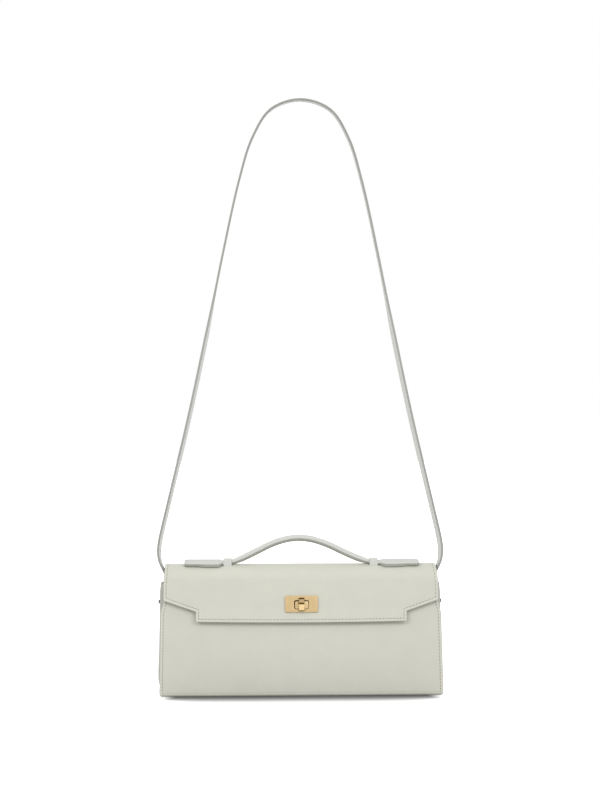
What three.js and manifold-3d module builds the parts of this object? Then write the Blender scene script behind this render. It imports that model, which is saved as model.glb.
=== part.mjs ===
// A small flap clutch in pale leather. The body is a wedge of front, back, base and two bowed gussets.
// The flap folds over the crest and closes with a turn lock. A rolled handle runs through two keepers on
// the crest, and a long shoulder strap leaves the bag at the tops of the gussets.
// Millimetres, +Z up, the front faces -Y. The origin is the middle of the base, on the ground.
import * as THREE from "three";
import { mergeVertices } from "three/addons/utils/BufferGeometryUtils.js";
import Module from "manifold-3d";

const wasm = await Module();
wasm.setup();
const radians = THREE.MathUtils.degToRad;
const { lerp, smoothstep } = THREE.MathUtils;

// The wedge: a fold over the top, a leaning front and a back that both widen down to the base.
const BAG_HEIGHT = 123.6;
const CREST_RADIUS = 17;
const CREST_Z = BAG_HEIGHT - CREST_RADIUS;
const FRONT_LEAN = radians(9.4);
const BASE_HALF_DEPTH = 29.9;
const BASE_CORNER = 4.4;
const SEAM_Z = 4;
const SEAM_GAP = 0.3;

// Leather, stiffener and lining thicknesses, with the small gaps between the layers.
const PANEL_THICK = 1.6;
const BOARD_THICK = 1.2;
const LINING_THICK = 0.8;
const FLAP_THICK = 1.4;
const LAYER_GAP = 0.3;
const FLAP_LINING_GAP = 0.15;
const FLAP_OFF_FRONT = 1.9;

// Panels and their depths behind the outer face of the front or the back.
const PANEL_TOP_HALF = 131.3;
const PANEL_WAIST_HALF = 134;
const PANEL_BASE_HALF = 134.8;
const PANEL_WAIST_Z = 76;
const PANEL_SHOULDER_Z = 89;
const FRONT_TOP_Z = 104;
const BACK_TOP_Z = CREST_Z - 0.4;
const PANEL_BELLY = 1.6;
const FRONT_BELLY_TOP_Z = 66;
const BOARD_HALF = 123.5;
const BOARD_DEPTH = PANEL_THICK + LAYER_GAP;
const LINING_HALF = 128;
const LINING_DEPTH = 3.7;
const LINING_FOOT_Z = 6.2;

// Gussets: bowed webs with a flange sewn behind the front and the back.
const GUSSET_TOP_HALF = 131.5;
const GUSSET_BASE_HALF = 133;
const GUSSET_TAPER_Z = 75;
const GUSSET_THICK = 1.5;
const GUSSET_TOP_Z = 105.6;
const GUSSET_FOOT_Z = 2;
const GUSSET_FLANGE_FOOT_Z = 4.5;
const GUSSET_FLANGE = 7;
const GUSSET_BEND = 1.6;
const GUSSET_BOW = 3.6;
const GUSSET_BOW_RISE = [-3, 16];
const GUSSET_BOW_FALL = [94, 108];
const GUSSET_BOW_LOSS = 0.35;

// Base: leather, stiffener and lining.
const BASE_BOARD_THICK = 2;
const BASE_BOARD_HALF = 122;
const BASE_INNER_HALF_DEPTH = 22;
const BASE_SIDE_INSET = 0.6;
const BOARD_TOP_DROP = 1;

// Flap: it narrows over the crest, and its front edge steps down in the middle.
const FLAP_CREST_HALF = 129.6;
const FLAP_TIP_HALF = 131.3;
const FLAP_STEP_HALF = 100.5;
const FLAP_TIP_Z = 90;
const FLAP_STEP_Z = 79.5;
const FLAP_EDGE_Z = 70;
const FLAP_EDGE_SAG = 1;
const FLAP_LINING_INSET = 1.2;

// Turn lock, in its own frame: across X, up the slope Y, out of the front Z, from the front panel's face.
const LOCK_Z = 85;
const SLOT = { width: 14, height: 8.4, corner: 2.2 };
const FLAP_CUTOUT = { width: 14.8, height: 13.4, corner: 2.2 };
const PLATE = { width: 31, height: 15.5, corner: 0.9, rise: 0.7, from: 4.5, thick: 1.6 };
const PLATE_POST = { x: 11.5, radius: 1.5, clearance: 0.4, thread: 1, threadDepth: 1.9, overlap: 0.2 };
const PLATE_BACKING = { x: 11.3, width: 6.4, height: 13.5, corner: 0.9, from: 1.25, thick: 0.4, hole: 1.1 };
const PLATE_SCREW = { x: 11.5, head: 1.7, headFrom: 0.4, headThick: 0.5, shank: 0.7, shankTo: 3.4 };
const BOSS = { width: 13, height: 7.4, corner: 1.9, from: 0.3, top: 5 };
const BASE_SCREW = { x: 4.9, head: 1.5, headFrom: -6.5, headThick: 0.7, shank: 0.8, shankTo: 3 };
const BASE_SCREW_HOLE = 1.2;
const BASE_THREAD = { radius: 1.1, to: 3.4 };
const LOCK_BACKING = { width: 22, height: 12, corner: 2, from: -5.5, thick: 0.8 };
const SPINDLE = { radius: 1.8, from: -7.2, to: 6.3 };
const BORE_RADIUS = 2.2;
const SPRING_WASHER = { outer: 3.2, from: -6.2, to: -5.8 };
const CLIP = { outer: 3.2, from: -7, to: -6.5 };
const KNOB = { length: 13, width: 5.2, from: 6.6, lobe: 3.1, valley: 2 };
const KNOB_ROUNDING = { foot: 0.5, shoulder: 1, crown: 2.1, dip: 3.4 };
const LOCK_REACH = 8;

// Handle: a rolled grip over a cord, two keepers and two flat tabs, just in front of the crest's top.
const HANDLE_Y = -4.3;
const HANDLE_SEAT_Z = 123;
const GRIP_RADIUS = 2.4;
const GRIP_BORE = 1.7;
const GRIP_CORE = 1.35;
const HANDLE_AXIS_Z = HANDLE_SEAT_Z + 2.8;
const GRIP_END_X = 75.4;
const GRIP_RISE = [[0, 148.6], [10, 147.7], [20, 145.1], [30, 141.2], [40, 136.2], [50, 131], [57.5, 127.4]];
const GRIP_STRAIGHT_X = 64;
const KEEPER = { x: 70.6, width: 8.3, opening: 2.7, wall: 1, outerBend: 2, innerBend: 1 };
const KEEPER_TOP = HANDLE_SEAT_Z + 6.5;
const KEEPER_FOOT_GAP = 0.3;
const TAB = { inner: 75.8, shoulder: 82, outer: 112.5, half: 7.4, neck: 2.6, thick: 3.3, root: 4.8 };
const TAB_NECK = [[0.4, 0.4, 0.5], [0.75, 0.9, 1]];
const TAB_END = [[3, 0, 0], [1, 0.7, 0.2], [0, 2, 0.6]];
const TAB_GAP = 0.3;

// Shoulder strap: a flat arch that flexes at FLEX_Z, with two ends riveted inside the gussets.
const STRAP_HALF_WIDTH = 5.5;
const STRAP_THICK = 2.2;
const STRAP_RUN = [
  [131.2, 120], [133.5, 126], [135, 132.4], [135.4, 139], [134.4, 147], [125.4, 184.6], [107, 262],
  [90.6, 339], [75.5, 416], [58.5, 493], [46.3, 532], [28.5, 559.5], [0, 569],
];
const STRAP_TWIST = radians(13);
const STRAP_TWIST_RISE = [112, 140];
const STRAP_TWIST_FALL = [330, 400];
const FLEX_Z = 113;
const STRAP_FOOT_X = 131;
const STRAP_END_RUN = [
  [130.4, 118.5], [129, FLEX_Z], [128.5, 106], [129.6, 98.5], [STRAP_FOOT_X, 92], [STRAP_FOOT_X, 78],
];
const RIVET = { z: 87.5, post: 1.3, hole: 1.6, head: 1.8, face: 135.6, rim: 0.5, dome: 1.4 };
const RIVET_SHOULDER = { radius: 1.35, height: 1.1 };
const RIVET_CAP = { radius: 3, thick: 1 };

const FINISH = {
  leather: { color: 0xd7d7c9, roughness: 0.55, metalness: 0 },
  lining: { color: 0xc6c3b2, roughness: 0.85, metalness: 0 },
  board: { color: 0xb9a98a, roughness: 0.9, metalness: 0 },
  gold: { color: 0xd9b66c, roughness: 0.25, metalness: 1 },
  gunmetal: { color: 0x6f716c, roughness: 0.4, metalness: 1 },
  cord: { color: 0xe4decd, roughness: 0.9, metalness: 0 },
};

function add(parent, name, finish, geometry) {
  const mesh = new THREE.Mesh(geometry, new THREE.MeshStandardMaterial(FINISH[finish]));
  mesh.name = name;
  parent.add(mesh);
}

// Solids for cutting and joining
function solidOf(geometry) {
  const bare = geometry.clone();
  bare.deleteAttribute("normal");
  bare.deleteAttribute("uv");
  const merged = mergeVertices(bare, 1e-4);
  const vertProperties = new Float32Array(merged.attributes.position.array);
  const triVerts = new Uint32Array(merged.index.array);
  return new wasm.Manifold(new wasm.Mesh({ numProp: 3, vertProperties, triVerts }));
}

function geometryOf(solid) {
  const mesh = solid.getMesh();
  const geometry = new THREE.BufferGeometry();
  geometry.setAttribute("position", new THREE.BufferAttribute(mesh.vertProperties, 3));
  geometry.setIndex(new THREE.BufferAttribute(mesh.triVerts, 1));
  return geometry;
}

function cut(geometry, ...tools) {
  return geometryOf(tools.reduce((solid, tool) => solid.subtract(solidOf(tool)), solidOf(geometry)));
}

function join(geometry, ...others) {
  return geometryOf(others.reduce((solid, other) => solid.add(solidOf(other)), solidOf(geometry)));
}

// Turns a geometry inside out when its faces point inwards.
function facingOut(geometry) {
  const points = geometry.attributes.position;
  const order = geometry.index;
  const corner = (at) => new THREE.Vector3().fromBufferAttribute(points, order.getX(at));
  let volume = 0;
  for (let at = 0; at < order.count; at += 3) {
    volume += corner(at).dot(corner(at + 1).cross(corner(at + 2)));
  }
  if (volume < 0) {
    for (let at = 0; at < order.count; at += 3) {
      const first = order.getX(at);
      order.setX(at, order.getX(at + 1));
      order.setX(at + 1, first);
    }
  }
  return geometry;
}

// A sheet bent out of a thin box. place(column, row, inner) gives the point of each corner.
function bentSheet(columns, rows, place) {
  const geometry = new THREE.BoxGeometry(1, 1, 1, columns, rows, 1);
  const points = geometry.attributes.position;
  for (let at = 0; at < points.count; at += 1) {
    const column = Math.round((points.getX(at) + 0.5) * columns);
    const row = Math.round((points.getY(at) + 0.5) * rows);
    points.setXYZ(at, ...place(column, row, points.getZ(at) < 0));
  }
  return facingOut(geometry);
}

// An outline drawn in Y and Z, carried along X over a width centred on x.
function alongX(shape, x, width, curveSegments) {
  const geometry = new THREE.ExtrudeGeometry(shape, { depth: width, bevelEnabled: false, curveSegments });
  const axes = [new THREE.Vector3(0, 1, 0), new THREE.Vector3(0, 0, 1), new THREE.Vector3(1, 0, 0)];
  geometry.applyMatrix4(new THREE.Matrix4().makeBasis(...axes));
  return geometry.translate(x - width / 2, 0, 0);
}

// A turned solid about the Z axis from [radius, height] pairs.
function turned(profile, sides = 12) {
  const points = profile.map(([radius, height]) => new THREE.Vector2(radius, height));
  return new THREE.LatheGeometry(points, sides).rotateX(Math.PI / 2);
}

function rod(radius, from, to, x = 0) {
  return turned([[0, from], [radius, from], [radius, to], [0, to]]).translate(x, 0, 0);
}

function ring(inner, outer, from, to, sides = 16) {
  return turned([[inner, from], [outer, from], [outer, to], [inner, to], [inner, from]], sides);
}

function roundedRectangle({ width, height, corner, rise = 0 }, Outline = THREE.Shape) {
  const right = width / 2 - corner;
  const top = rise + height / 2 - corner;
  const bottom = rise - height / 2 + corner;
  const outline = new Outline();
  outline.absarc(right, top, corner, 0, Math.PI / 2);
  outline.absarc(-right, top, corner, Math.PI / 2, Math.PI);
  outline.absarc(-right, bottom, corner, Math.PI, 1.5 * Math.PI);
  outline.absarc(right, bottom, corner, 1.5 * Math.PI, 2 * Math.PI);
  outline.closePath();
  return outline;
}

function plate(size, from, thick, hole) {
  const shape = roundedRectangle(size);
  if (hole) {
    shape.holes.push(roundedRectangle(hole, THREE.Path));
  }
  const geometry = new THREE.ExtrudeGeometry(shape, { depth: thick, bevelEnabled: false, curveSegments: 4 });
  return geometry.translate(0, 0, from);
}

// The wedge's faces. Depth is measured inwards from the outer face.
const CREST_END = Math.PI - FRONT_LEAN;
const CREST_END_Y = CREST_RADIUS * Math.cos(CREST_END);
const CREST_END_Z = CREST_Z + CREST_RADIUS * Math.sin(CREST_END);
const FLAP_STACK = FLAP_THICK + FLAP_LINING_GAP + LINING_THICK + FLAP_OFF_FRONT;
const BACK_LEAN = Math.atan2(BASE_HALF_DEPTH - CREST_RADIUS, CREST_Z - SEAM_Z);

function flapFrontY(z, depth) {
  return CREST_END_Y - (CREST_END_Z - z) * Math.tan(FRONT_LEAN) + depth / Math.cos(FRONT_LEAN);
}

function frontY(z, depth) {
  return flapFrontY(z, FLAP_STACK + depth);
}

function backY(z, depth) {
  return CREST_RADIUS + (CREST_Z - z) * Math.tan(BACK_LEAN) - depth / Math.cos(BACK_LEAN);
}

// The panels are widest at the base and draw in where the flap's tips lie on the front.
function panelHalf(z) {
  const low = lerp(PANEL_BASE_HALF, PANEL_WAIST_HALF, Math.min(1, (z - SEAM_Z) / (PANEL_WAIST_Z - SEAM_Z)));
  return lerp(low, PANEL_TOP_HALF, smoothstep(z, PANEL_WAIST_Z, PANEL_SHOULDER_Z));
}

// How far a panel swells between its edges, with u from -1 to 1 across it
function belly(u, z, top) {
  const share = Math.min(1, Math.max(0, (z - SEAM_Z) / (top - SEAM_Z)));
  return PANEL_BELLY * (1 - u * u) * Math.sin(Math.PI * share);
}

// The front and back walls, layer by layer
function wall({ faceY, outward, depth, thick, half, from, to, swellTop }) {
  const columns = swellTop ? 8 : 2;
  const rows = swellTop ? 7 : 1;
  return bentSheet(columns, rows, (column, row, inner) => {
    const u = (2 * column) / columns - 1;
    const z = lerp(from, to, row / rows);
    const swell = swellTop ? outward * belly(u, z, swellTop) : 0;
    return [u * half(z), faceY(z, depth + (inner ? thick : 0)) + swell, z];
  });
}

function frontPanel() {
  const sheet = wall({
    faceY: frontY, outward: -1, depth: 0, thick: PANEL_THICK, half: panelHalf,
    from: SEAM_Z + SEAM_GAP, to: FRONT_TOP_Z, swellTop: FRONT_BELLY_TOP_Z,
  });
  return cut(sheet, ...lockHoles());
}

function backPanel() {
  return wall({
    faceY: backY, outward: 1, depth: 0, thick: PANEL_THICK, half: panelHalf,
    from: SEAM_Z + SEAM_GAP, to: BACK_TOP_Z, swellTop: BACK_TOP_Z,
  });
}

function board(faceY) {
  return wall({
    faceY, depth: BOARD_DEPTH, thick: BOARD_THICK, half: () => BOARD_HALF,
    from: LINING_FOOT_Z, to: FRONT_TOP_Z - BOARD_TOP_DROP,
  });
}

function lining(faceY) {
  return wall({
    faceY, depth: LINING_DEPTH, thick: LINING_THICK, half: () => LINING_HALF,
    from: LINING_FOOT_Z, to: FRONT_TOP_Z,
  });
}

// Base leather: flat on the ground and turned up into the seams at the front and the back
function baseProfile(depth) {
  const corner = BASE_CORNER - depth;
  const points = [];
  for (let step = 0; step <= 4; step += 1) {
    const angle = lerp(Math.PI - FRONT_LEAN, 1.5 * Math.PI, step / 4);
    const y = BASE_CORNER - BASE_HALF_DEPTH + corner * Math.cos(angle);
    points.push([y, BASE_CORNER + corner * Math.sin(angle)]);
  }
  const mirrored = points.map(([y, z]) => [-y, z]).reverse();
  return [...points, ...mirrored];
}

function basePanel() {
  const faces = [baseProfile(0), baseProfile(PANEL_THICK)];
  const rows = faces[0].length - 1;
  return bentSheet(2, rows, (column, row, inner) => {
    const [y, z] = faces[inner ? 1 : 0][row];
    const crop = Math.min(z, SEAM_Z);
    return [(column - 1) * (PANEL_BASE_HALF - BASE_SIDE_INSET), y, crop];
  });
}

function baseLayer(half, from, thick) {
  const sheet = new THREE.BoxGeometry(2 * half, 2 * BASE_INNER_HALF_DEPTH, thick);
  return sheet.translate(0, 0, from + thick / 2);
}

// Gussets
function gussetHalf(z) {
  return lerp(GUSSET_BASE_HALF, GUSSET_TOP_HALF, Math.min(1, (z - SEAM_Z) / (GUSSET_TAPER_Z - SEAM_Z)));
}

function gussetBow(z) {
  const loss = GUSSET_BOW_LOSS * smoothstep(z, ...GUSSET_BOW_FALL);
  return GUSSET_BOW * smoothstep(z, ...GUSSET_BOW_RISE) * (1 - loss);
}

function gusset(side) {
  const webColumns = 8;
  const columns = webColumns + 4;
  const rows = 10;
  const sheet = bentSheet(columns, rows, (column, row, inner) => {
    const inFlange = column < 3 || column > columns - 3;
    const z = lerp(inFlange ? GUSSET_FLANGE_FOOT_Z : GUSSET_FOOT_Z, GUSSET_TOP_Z, row / rows);
    const thick = inner ? GUSSET_THICK : 0;
    const bend = GUSSET_BEND + thick * Math.tan(Math.PI / 8);
    const front = frontY(z, PANEL_THICK + LAYER_GAP) + thick;
    const back = backY(z, PANEL_THICK + LAYER_GAP) - thick;
    const half = gussetHalf(z);
    if (column < 2 || column > columns - 2) {
      const inset = column === 0 || column === columns ? GUSSET_FLANGE : bend;
      return [side * (half - inset), column < 2 ? front : back, z];
    }
    const across = (2 * (column - 2)) / webColumns - 1;
    const y = lerp(front - thick + bend, back + thick - bend, (across + 1) / 2);
    return [side * (half - thick + gussetBow(z) * (1 - across * across)), y, z];
  });
  return cut(sheet, rivetHole(side));
}

// Flap: rows run from the hinge line over the crest and down the front.
function flapRows(inset) {
  const rows = [];
  const crestSteps = 12;
  for (let step = 0; step <= crestSteps; step += 1) {
    rows.push({ angle: (CREST_END * step) / crestSteps, half: FLAP_CREST_HALF - inset });
  }
  const halfway = (FLAP_CREST_HALF + FLAP_TIP_HALF) / 2;
  rows.push({ z: (CREST_END_Z + FLAP_TIP_Z) / 2, half: halfway - inset });
  rows.push({ z: FLAP_TIP_Z + inset, half: FLAP_TIP_HALF - inset });
  rows.push({ z: FLAP_STEP_Z + inset, half: FLAP_STEP_HALF - inset });
  rows.push({ z: FLAP_EDGE_Z + inset, half: FLAP_STEP_HALF - inset, sag: FLAP_EDGE_SAG });
  return rows;
}

function flapSheet(depth, thick, inset) {
  const stations = flapRows(inset);
  const columns = 6;
  const sheet = bentSheet(columns, stations.length - 1, (column, row, inner) => {
    const { angle, z, half, sag = 0 } = stations[row];
    const u = (2 * column) / columns - 1;
    const below = depth + (inner ? thick : 0);
    if (z === undefined) {
      const radius = CREST_RADIUS - below;
      return [u * half, radius * Math.cos(angle), CREST_Z + radius * Math.sin(angle)];
    }
    const height = z - sag * (1 - u * u);
    return [u * half, flapFrontY(height, below), height];
  });
  const tools = [plate(FLAP_CUTOUT, 0, LOCK_REACH)];
  for (const x of [-PLATE_POST.x, PLATE_POST.x]) {
    tools.push(rod(PLATE_POST.radius + PLATE_POST.clearance, 0, LOCK_REACH, x));
  }
  return cut(sheet, ...tools.map(intoLockFrame));
}

// Turn lock
const lockFrame = new THREE.Matrix4().makeRotationX(Math.PI / 2 - FRONT_LEAN);
lockFrame.setPosition(0, frontY(LOCK_Z, 0), LOCK_Z);

function intoLockFrame(geometry) {
  return geometry.applyMatrix4(lockFrame);
}

function lockBores() {
  const bores = [rod(BORE_RADIUS, -LOCK_REACH, LOCK_REACH)];
  for (const x of [-BASE_SCREW.x, BASE_SCREW.x]) {
    bores.push(rod(BASE_SCREW_HOLE, -LOCK_REACH, LOCK_REACH, x));
  }
  return bores;
}

function lockHoles() {
  return lockBores().map(intoLockFrame);
}

function lockPlate() {
  const posts = [];
  const threads = [];
  const { radius, thread, threadDepth, overlap } = PLATE_POST;
  for (const x of [-PLATE_POST.x, PLATE_POST.x]) {
    posts.push(rod(radius, FLAP_OFF_FRONT, PLATE.from + overlap, x));
    threads.push(rod(thread, 0, FLAP_OFF_FRONT + threadDepth, x));
  }
  const face = plate(PLATE, PLATE.from, PLATE.thick, SLOT);
  return cut(join(face, ...posts), ...threads);
}

function lockPlateBacking(side) {
  const { x, from, thick, hole } = PLATE_BACKING;
  const sheet = plate(PLATE_BACKING, from, thick).translate(side * x, 0, 0);
  return cut(sheet, rod(hole, 0, LOCK_REACH, side * PLATE_POST.x));
}

function screw({ x, head, headFrom, headThick, shank, shankTo }, side) {
  const seat = headFrom + headThick;
  const headProfile = [[0, headFrom], [head, headFrom], [head, seat]];
  const shankProfile = [[shank, seat], [shank, shankTo], [0, shankTo]];
  return turned([...headProfile, ...shankProfile]).translate(side * x, 0, 0);
}

function lockBase() {
  const boss = plate(BOSS, BOSS.from, BOSS.top - BOSS.from);
  const { radius, to } = BASE_THREAD;
  const threads = [-BASE_SCREW.x, BASE_SCREW.x].map((x) => rod(radius, 0, to, x));
  return cut(boss, rod(BORE_RADIUS, 0, LOCK_REACH), ...threads);
}

function lockBaseBacking() {
  return cut(plate(LOCK_BACKING, LOCK_BACKING.from, LOCK_BACKING.thick), ...lockBores());
}

function lockRing({ outer, from, to }) {
  return ring(BORE_RADIUS, outer, from, to);
}

function lockKnob() {
  const { lobe, valley } = KNOB;
  const { foot, shoulder, crown, dip } = KNOB_ROUNDING;
  const end = KNOB.length / 2;
  const outline = new THREE.Shape();
  outline.moveTo(foot - end, 0);
  outline.lineTo(end - foot, 0);
  outline.lineTo(end, shoulder);
  outline.quadraticCurveTo(end, lobe, end - crown, lobe);
  outline.quadraticCurveTo(end - dip, lobe, 0, valley);
  outline.quadraticCurveTo(dip - end, lobe, crown - end, lobe);
  outline.quadraticCurveTo(-end, lobe, -end, shoulder);
  outline.closePath();
  return alongX(outline, 0, KNOB.width, 5).translate(0, 0, KNOB.from);
}

// Handle
function gripPath(endX) {
  const straight = [GRIP_STRAIGHT_X, (GRIP_STRAIGHT_X + endX) / 2, endX].map((x) => [x, HANDLE_AXIS_Z]);
  const run = [...GRIP_RISE, ...straight];
  const right = run.map(([x, z]) => new THREE.Vector3(x, HANDLE_Y, z));
  const left = run.slice(1).map(([x, z]) => new THREE.Vector3(-x, HANDLE_Y, z));
  return new THREE.CatmullRomCurve3([...left.reverse(), ...right]);
}

function gripTube(radius, endX, bore) {
  const section = new THREE.Shape().absarc(0, 0, radius, 0, 2 * Math.PI);
  if (bore) {
    section.holes.push(new THREE.Path().absarc(0, 0, bore, 0, 2 * Math.PI));
  }
  return new THREE.ExtrudeGeometry(section, { steps: 36, curveSegments: 4, extrudePath: gripPath(endX) });
}

function handleKeeper(side) {
  const { x, width, opening, wall: thick, outerBend, innerBend } = KEEPER;
  const loop = new THREE.Shape();
  const outer = opening + thick;
  const ceiling = KEEPER_TOP - thick;
  const footZ = (y) => CREST_Z + Math.sqrt(CREST_RADIUS ** 2 - (HANDLE_Y + y) ** 2) + KEEPER_FOOT_GAP;
  loop.moveTo(-outer, footZ(-opening));
  loop.lineTo(-opening, footZ(-opening));
  loop.lineTo(-opening, ceiling - innerBend);
  loop.quadraticCurveTo(-opening, ceiling, innerBend - opening, ceiling);
  loop.lineTo(opening - innerBend, ceiling);
  loop.quadraticCurveTo(opening, ceiling, opening, ceiling - innerBend);
  loop.lineTo(opening, footZ(opening));
  loop.lineTo(outer, footZ(opening));
  loop.lineTo(outer, KEEPER_TOP - outerBend);
  loop.quadraticCurveTo(outer, KEEPER_TOP, outer - outerBend, KEEPER_TOP);
  loop.lineTo(outerBend - outer, KEEPER_TOP);
  loop.quadraticCurveTo(-outer, KEEPER_TOP, -outer, KEEPER_TOP - outerBend);
  loop.closePath();
  return alongX(loop, side * x, width, 3).translate(0, HANDLE_Y, 0);
}

function handleTab(side) {
  const { inner, shoulder, outer, half, neck, thick, root } = TAB;
  const neckRows = TAB_NECK.map(([along, spread, drop]) => [
    lerp(inner, shoulder, along), lerp(neck, half, spread), lerp(root, thick, drop),
  ]);
  const endRows = TAB_END.map(([short, narrow, thin]) => [outer - short, half - narrow, thick - thin]);
  const stations = [[inner, neck, root], ...neckRows, [shoulder, half, thick], ...endRows];
  const columns = 6;
  return bentSheet(columns, stations.length - 1, (column, row, under) => {
    const [x, halfWidth, height] = stations[row];
    const angle = (HANDLE_Y + ((2 * column) / columns - 1) * halfWidth) / CREST_RADIUS;
    const radius = CREST_RADIUS + TAB_GAP + (under ? 0 : height);
    return [side * x, radius * Math.sin(angle), CREST_Z + radius * Math.cos(angle)];
  });
}

// Shoulder strap: a flat band along a curve, with its width square to the curve and turned by the twist.
function strapTwist(z) {
  return STRAP_TWIST * smoothstep(z, ...STRAP_TWIST_RISE) * (1 - smoothstep(z, ...STRAP_TWIST_FALL));
}

function band(curve, rows, halfWidthAt, columns) {
  return bentSheet(columns, rows, (column, row, inner) => {
    const share = row / rows;
    const middle = curve.getPointAt(share);
    const along = curve.getTangentAt(share);
    const turn = Math.sign(middle.x) * strapTwist(middle.z);
    const across = new THREE.Vector3(0, 1, 0).applyAxisAngle(along, along.z > 0 ? turn : -turn);
    const out = new THREE.Vector3().crossVectors(across, along);
    const u = (2 * column) / columns - 1;
    const point = middle.addScaledVector(across, u * halfWidthAt(share));
    return point.addScaledVector(out, (inner ? -0.5 : 0.5) * STRAP_THICK).toArray();
  });
}

function shoulderStrap() {
  const right = STRAP_RUN.map(([x, z]) => new THREE.Vector3(x, 0, z));
  const left = STRAP_RUN.slice(0, -1).map(([x, z]) => new THREE.Vector3(-x, 0, z));
  const arch = new THREE.CatmullRomCurve3([...left, ...right.reverse()]);
  return band(arch, 76, () => STRAP_HALF_WIDTH, 1);
}

// The fixed end has a round head about the flex line, so the strap can swing past it.
function strapEnd(side) {
  const run = STRAP_END_RUN.map(([x, z]) => new THREE.Vector3(side * x, 0, z));
  const curve = new THREE.CatmullRomCurve3(run);
  const length = curve.getLength();
  const headLength = STRAP_END_RUN[0][1] - FLEX_Z;
  const halfAt = (share) => {
    const fromFlex = Math.max(0, headLength - share * length);
    return Math.max(1, Math.sqrt(Math.max(0, STRAP_HALF_WIDTH ** 2 - fromFlex ** 2)));
  };
  return cut(band(curve, 16, halfAt, 2), rivetHole(side));
}

// Rivets stand along X at the gussets. Their inner caps sit on the strap's ends.
const RIVET_SEAT_X = STRAP_FOOT_X - STRAP_THICK / 2 - LAYER_GAP;

function crosswise(geometry, side) {
  return geometry.rotateY((side * Math.PI) / 2).translate(0, 0, RIVET.z);
}

function rivetHole(side) {
  return crosswise(rod(RIVET.hole, STRAP_FOOT_X - STRAP_HALF_WIDTH, RIVET.face + RIVET.dome), side);
}

function strapRivet(side) {
  const { post, head, face, rim, dome } = RIVET;
  const { radius, height } = RIVET_SHOULDER;
  const tail = RIVET_SEAT_X - RIVET_CAP.thick;
  const postProfile = [[0, tail], [post, tail], [post, face], [head, face]];
  const headProfile = [[head, face + rim], [radius, face + height], [0, face + dome]];
  return crosswise(turned([...postProfile, ...headProfile]), side);
}

function strapRivetCap(side) {
  const { radius, thick } = RIVET_CAP;
  return crosswise(ring(RIVET.hole, radius, RIVET_SEAT_X - thick, RIVET_SEAT_X), side);
}

// Assembly
const SIDES = { left: -1, right: 1 };
const clutch = new THREE.Group();
const fixedLock = new THREE.Group();
const flapLock = new THREE.Group();
const turningLock = new THREE.Group();
for (const group of [fixedLock, flapLock, turningLock]) {
  group.applyMatrix4(lockFrame);
  clutch.add(group);
}

add(clutch, "front_panel", "leather", frontPanel());
add(clutch, "front_board", "board", cut(board(frontY), ...lockHoles()));
add(clutch, "front_lining", "lining", cut(lining(frontY), ...lockHoles()));
add(clutch, "back_panel", "leather", backPanel());
add(clutch, "back_board", "board", board(backY));
add(clutch, "back_lining", "lining", lining(backY));

const baseBoardFrom = PANEL_THICK + LAYER_GAP;
const baseLiningFrom = baseBoardFrom + BASE_BOARD_THICK + LAYER_GAP;
add(clutch, "base_panel", "leather", basePanel());
add(clutch, "base_board", "board", baseLayer(BASE_BOARD_HALF, baseBoardFrom, BASE_BOARD_THICK));
add(clutch, "base_lining", "lining", baseLayer(LINING_HALF, baseLiningFrom, LINING_THICK));

add(clutch, "flap_leather", "leather", flapSheet(0, FLAP_THICK, 0));
const flapLiningDepth = FLAP_THICK + FLAP_LINING_GAP;
add(clutch, "flap_lining", "lining", flapSheet(flapLiningDepth, LINING_THICK, FLAP_LINING_INSET));

add(flapLock, "lock_plate", "gold", lockPlate());
add(fixedLock, "lock_base", "gold", lockBase());
add(fixedLock, "lock_base_backing", "gold", lockBaseBacking());
add(fixedLock, "lock_spring_washer", "gold", lockRing(SPRING_WASHER));
add(turningLock, "lock_spindle", "gold", rod(SPINDLE.radius, SPINDLE.from, SPINDLE.to));
add(turningLock, "lock_clip", "gold", lockRing(CLIP));
add(turningLock, "lock_knob", "gold", lockKnob());

add(clutch, "handle_grip", "leather", gripTube(GRIP_RADIUS, GRIP_END_X, GRIP_BORE));
add(clutch, "handle_core", "cord", gripTube(GRIP_CORE, GRIP_END_X - 0.6));
add(clutch, "shoulder_strap", "leather", shoulderStrap());

for (const [name, side] of Object.entries(SIDES)) {
  add(clutch, `gusset_${name}`, "leather", gusset(side));
  add(clutch, `strap_end_${name}`, "leather", strapEnd(side));
  add(clutch, `strap_rivet_${name}`, "gunmetal", strapRivet(side));
  add(clutch, `strap_rivet_cap_${name}`, "gunmetal", strapRivetCap(side));
  add(clutch, `handle_keeper_${name}`, "leather", handleKeeper(side));
  add(clutch, `handle_tab_${name}`, "leather", handleTab(side));
  add(flapLock, `lock_plate_backing_${name}`, "gold", lockPlateBacking(side));
  add(flapLock, `lock_plate_screw_${name}`, "gold", screw(PLATE_SCREW, side));
  add(fixedLock, `lock_base_screw_${name}`, "gold", screw(BASE_SCREW, side));
}

export default clutch;
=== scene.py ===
# %% [markdown]
# # A pale leather clutch with a turn lock
# The bag is a stiff little wedge in smooth sage leather. A flap folds over its crest, a gold turn lock holds the
# flap, a rolled handle stands on the crest and a long flat strap rises from the two gussets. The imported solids
# give every piece its place, so each finished piece is made in the same frame. The sizes of the pieces are
# written in millimetres, and those of the camera, the floor and the lamps in metres.

# %% Load the frame
import math

import bmesh
import bpy
from mathutils import Matrix, Vector, noise


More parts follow.
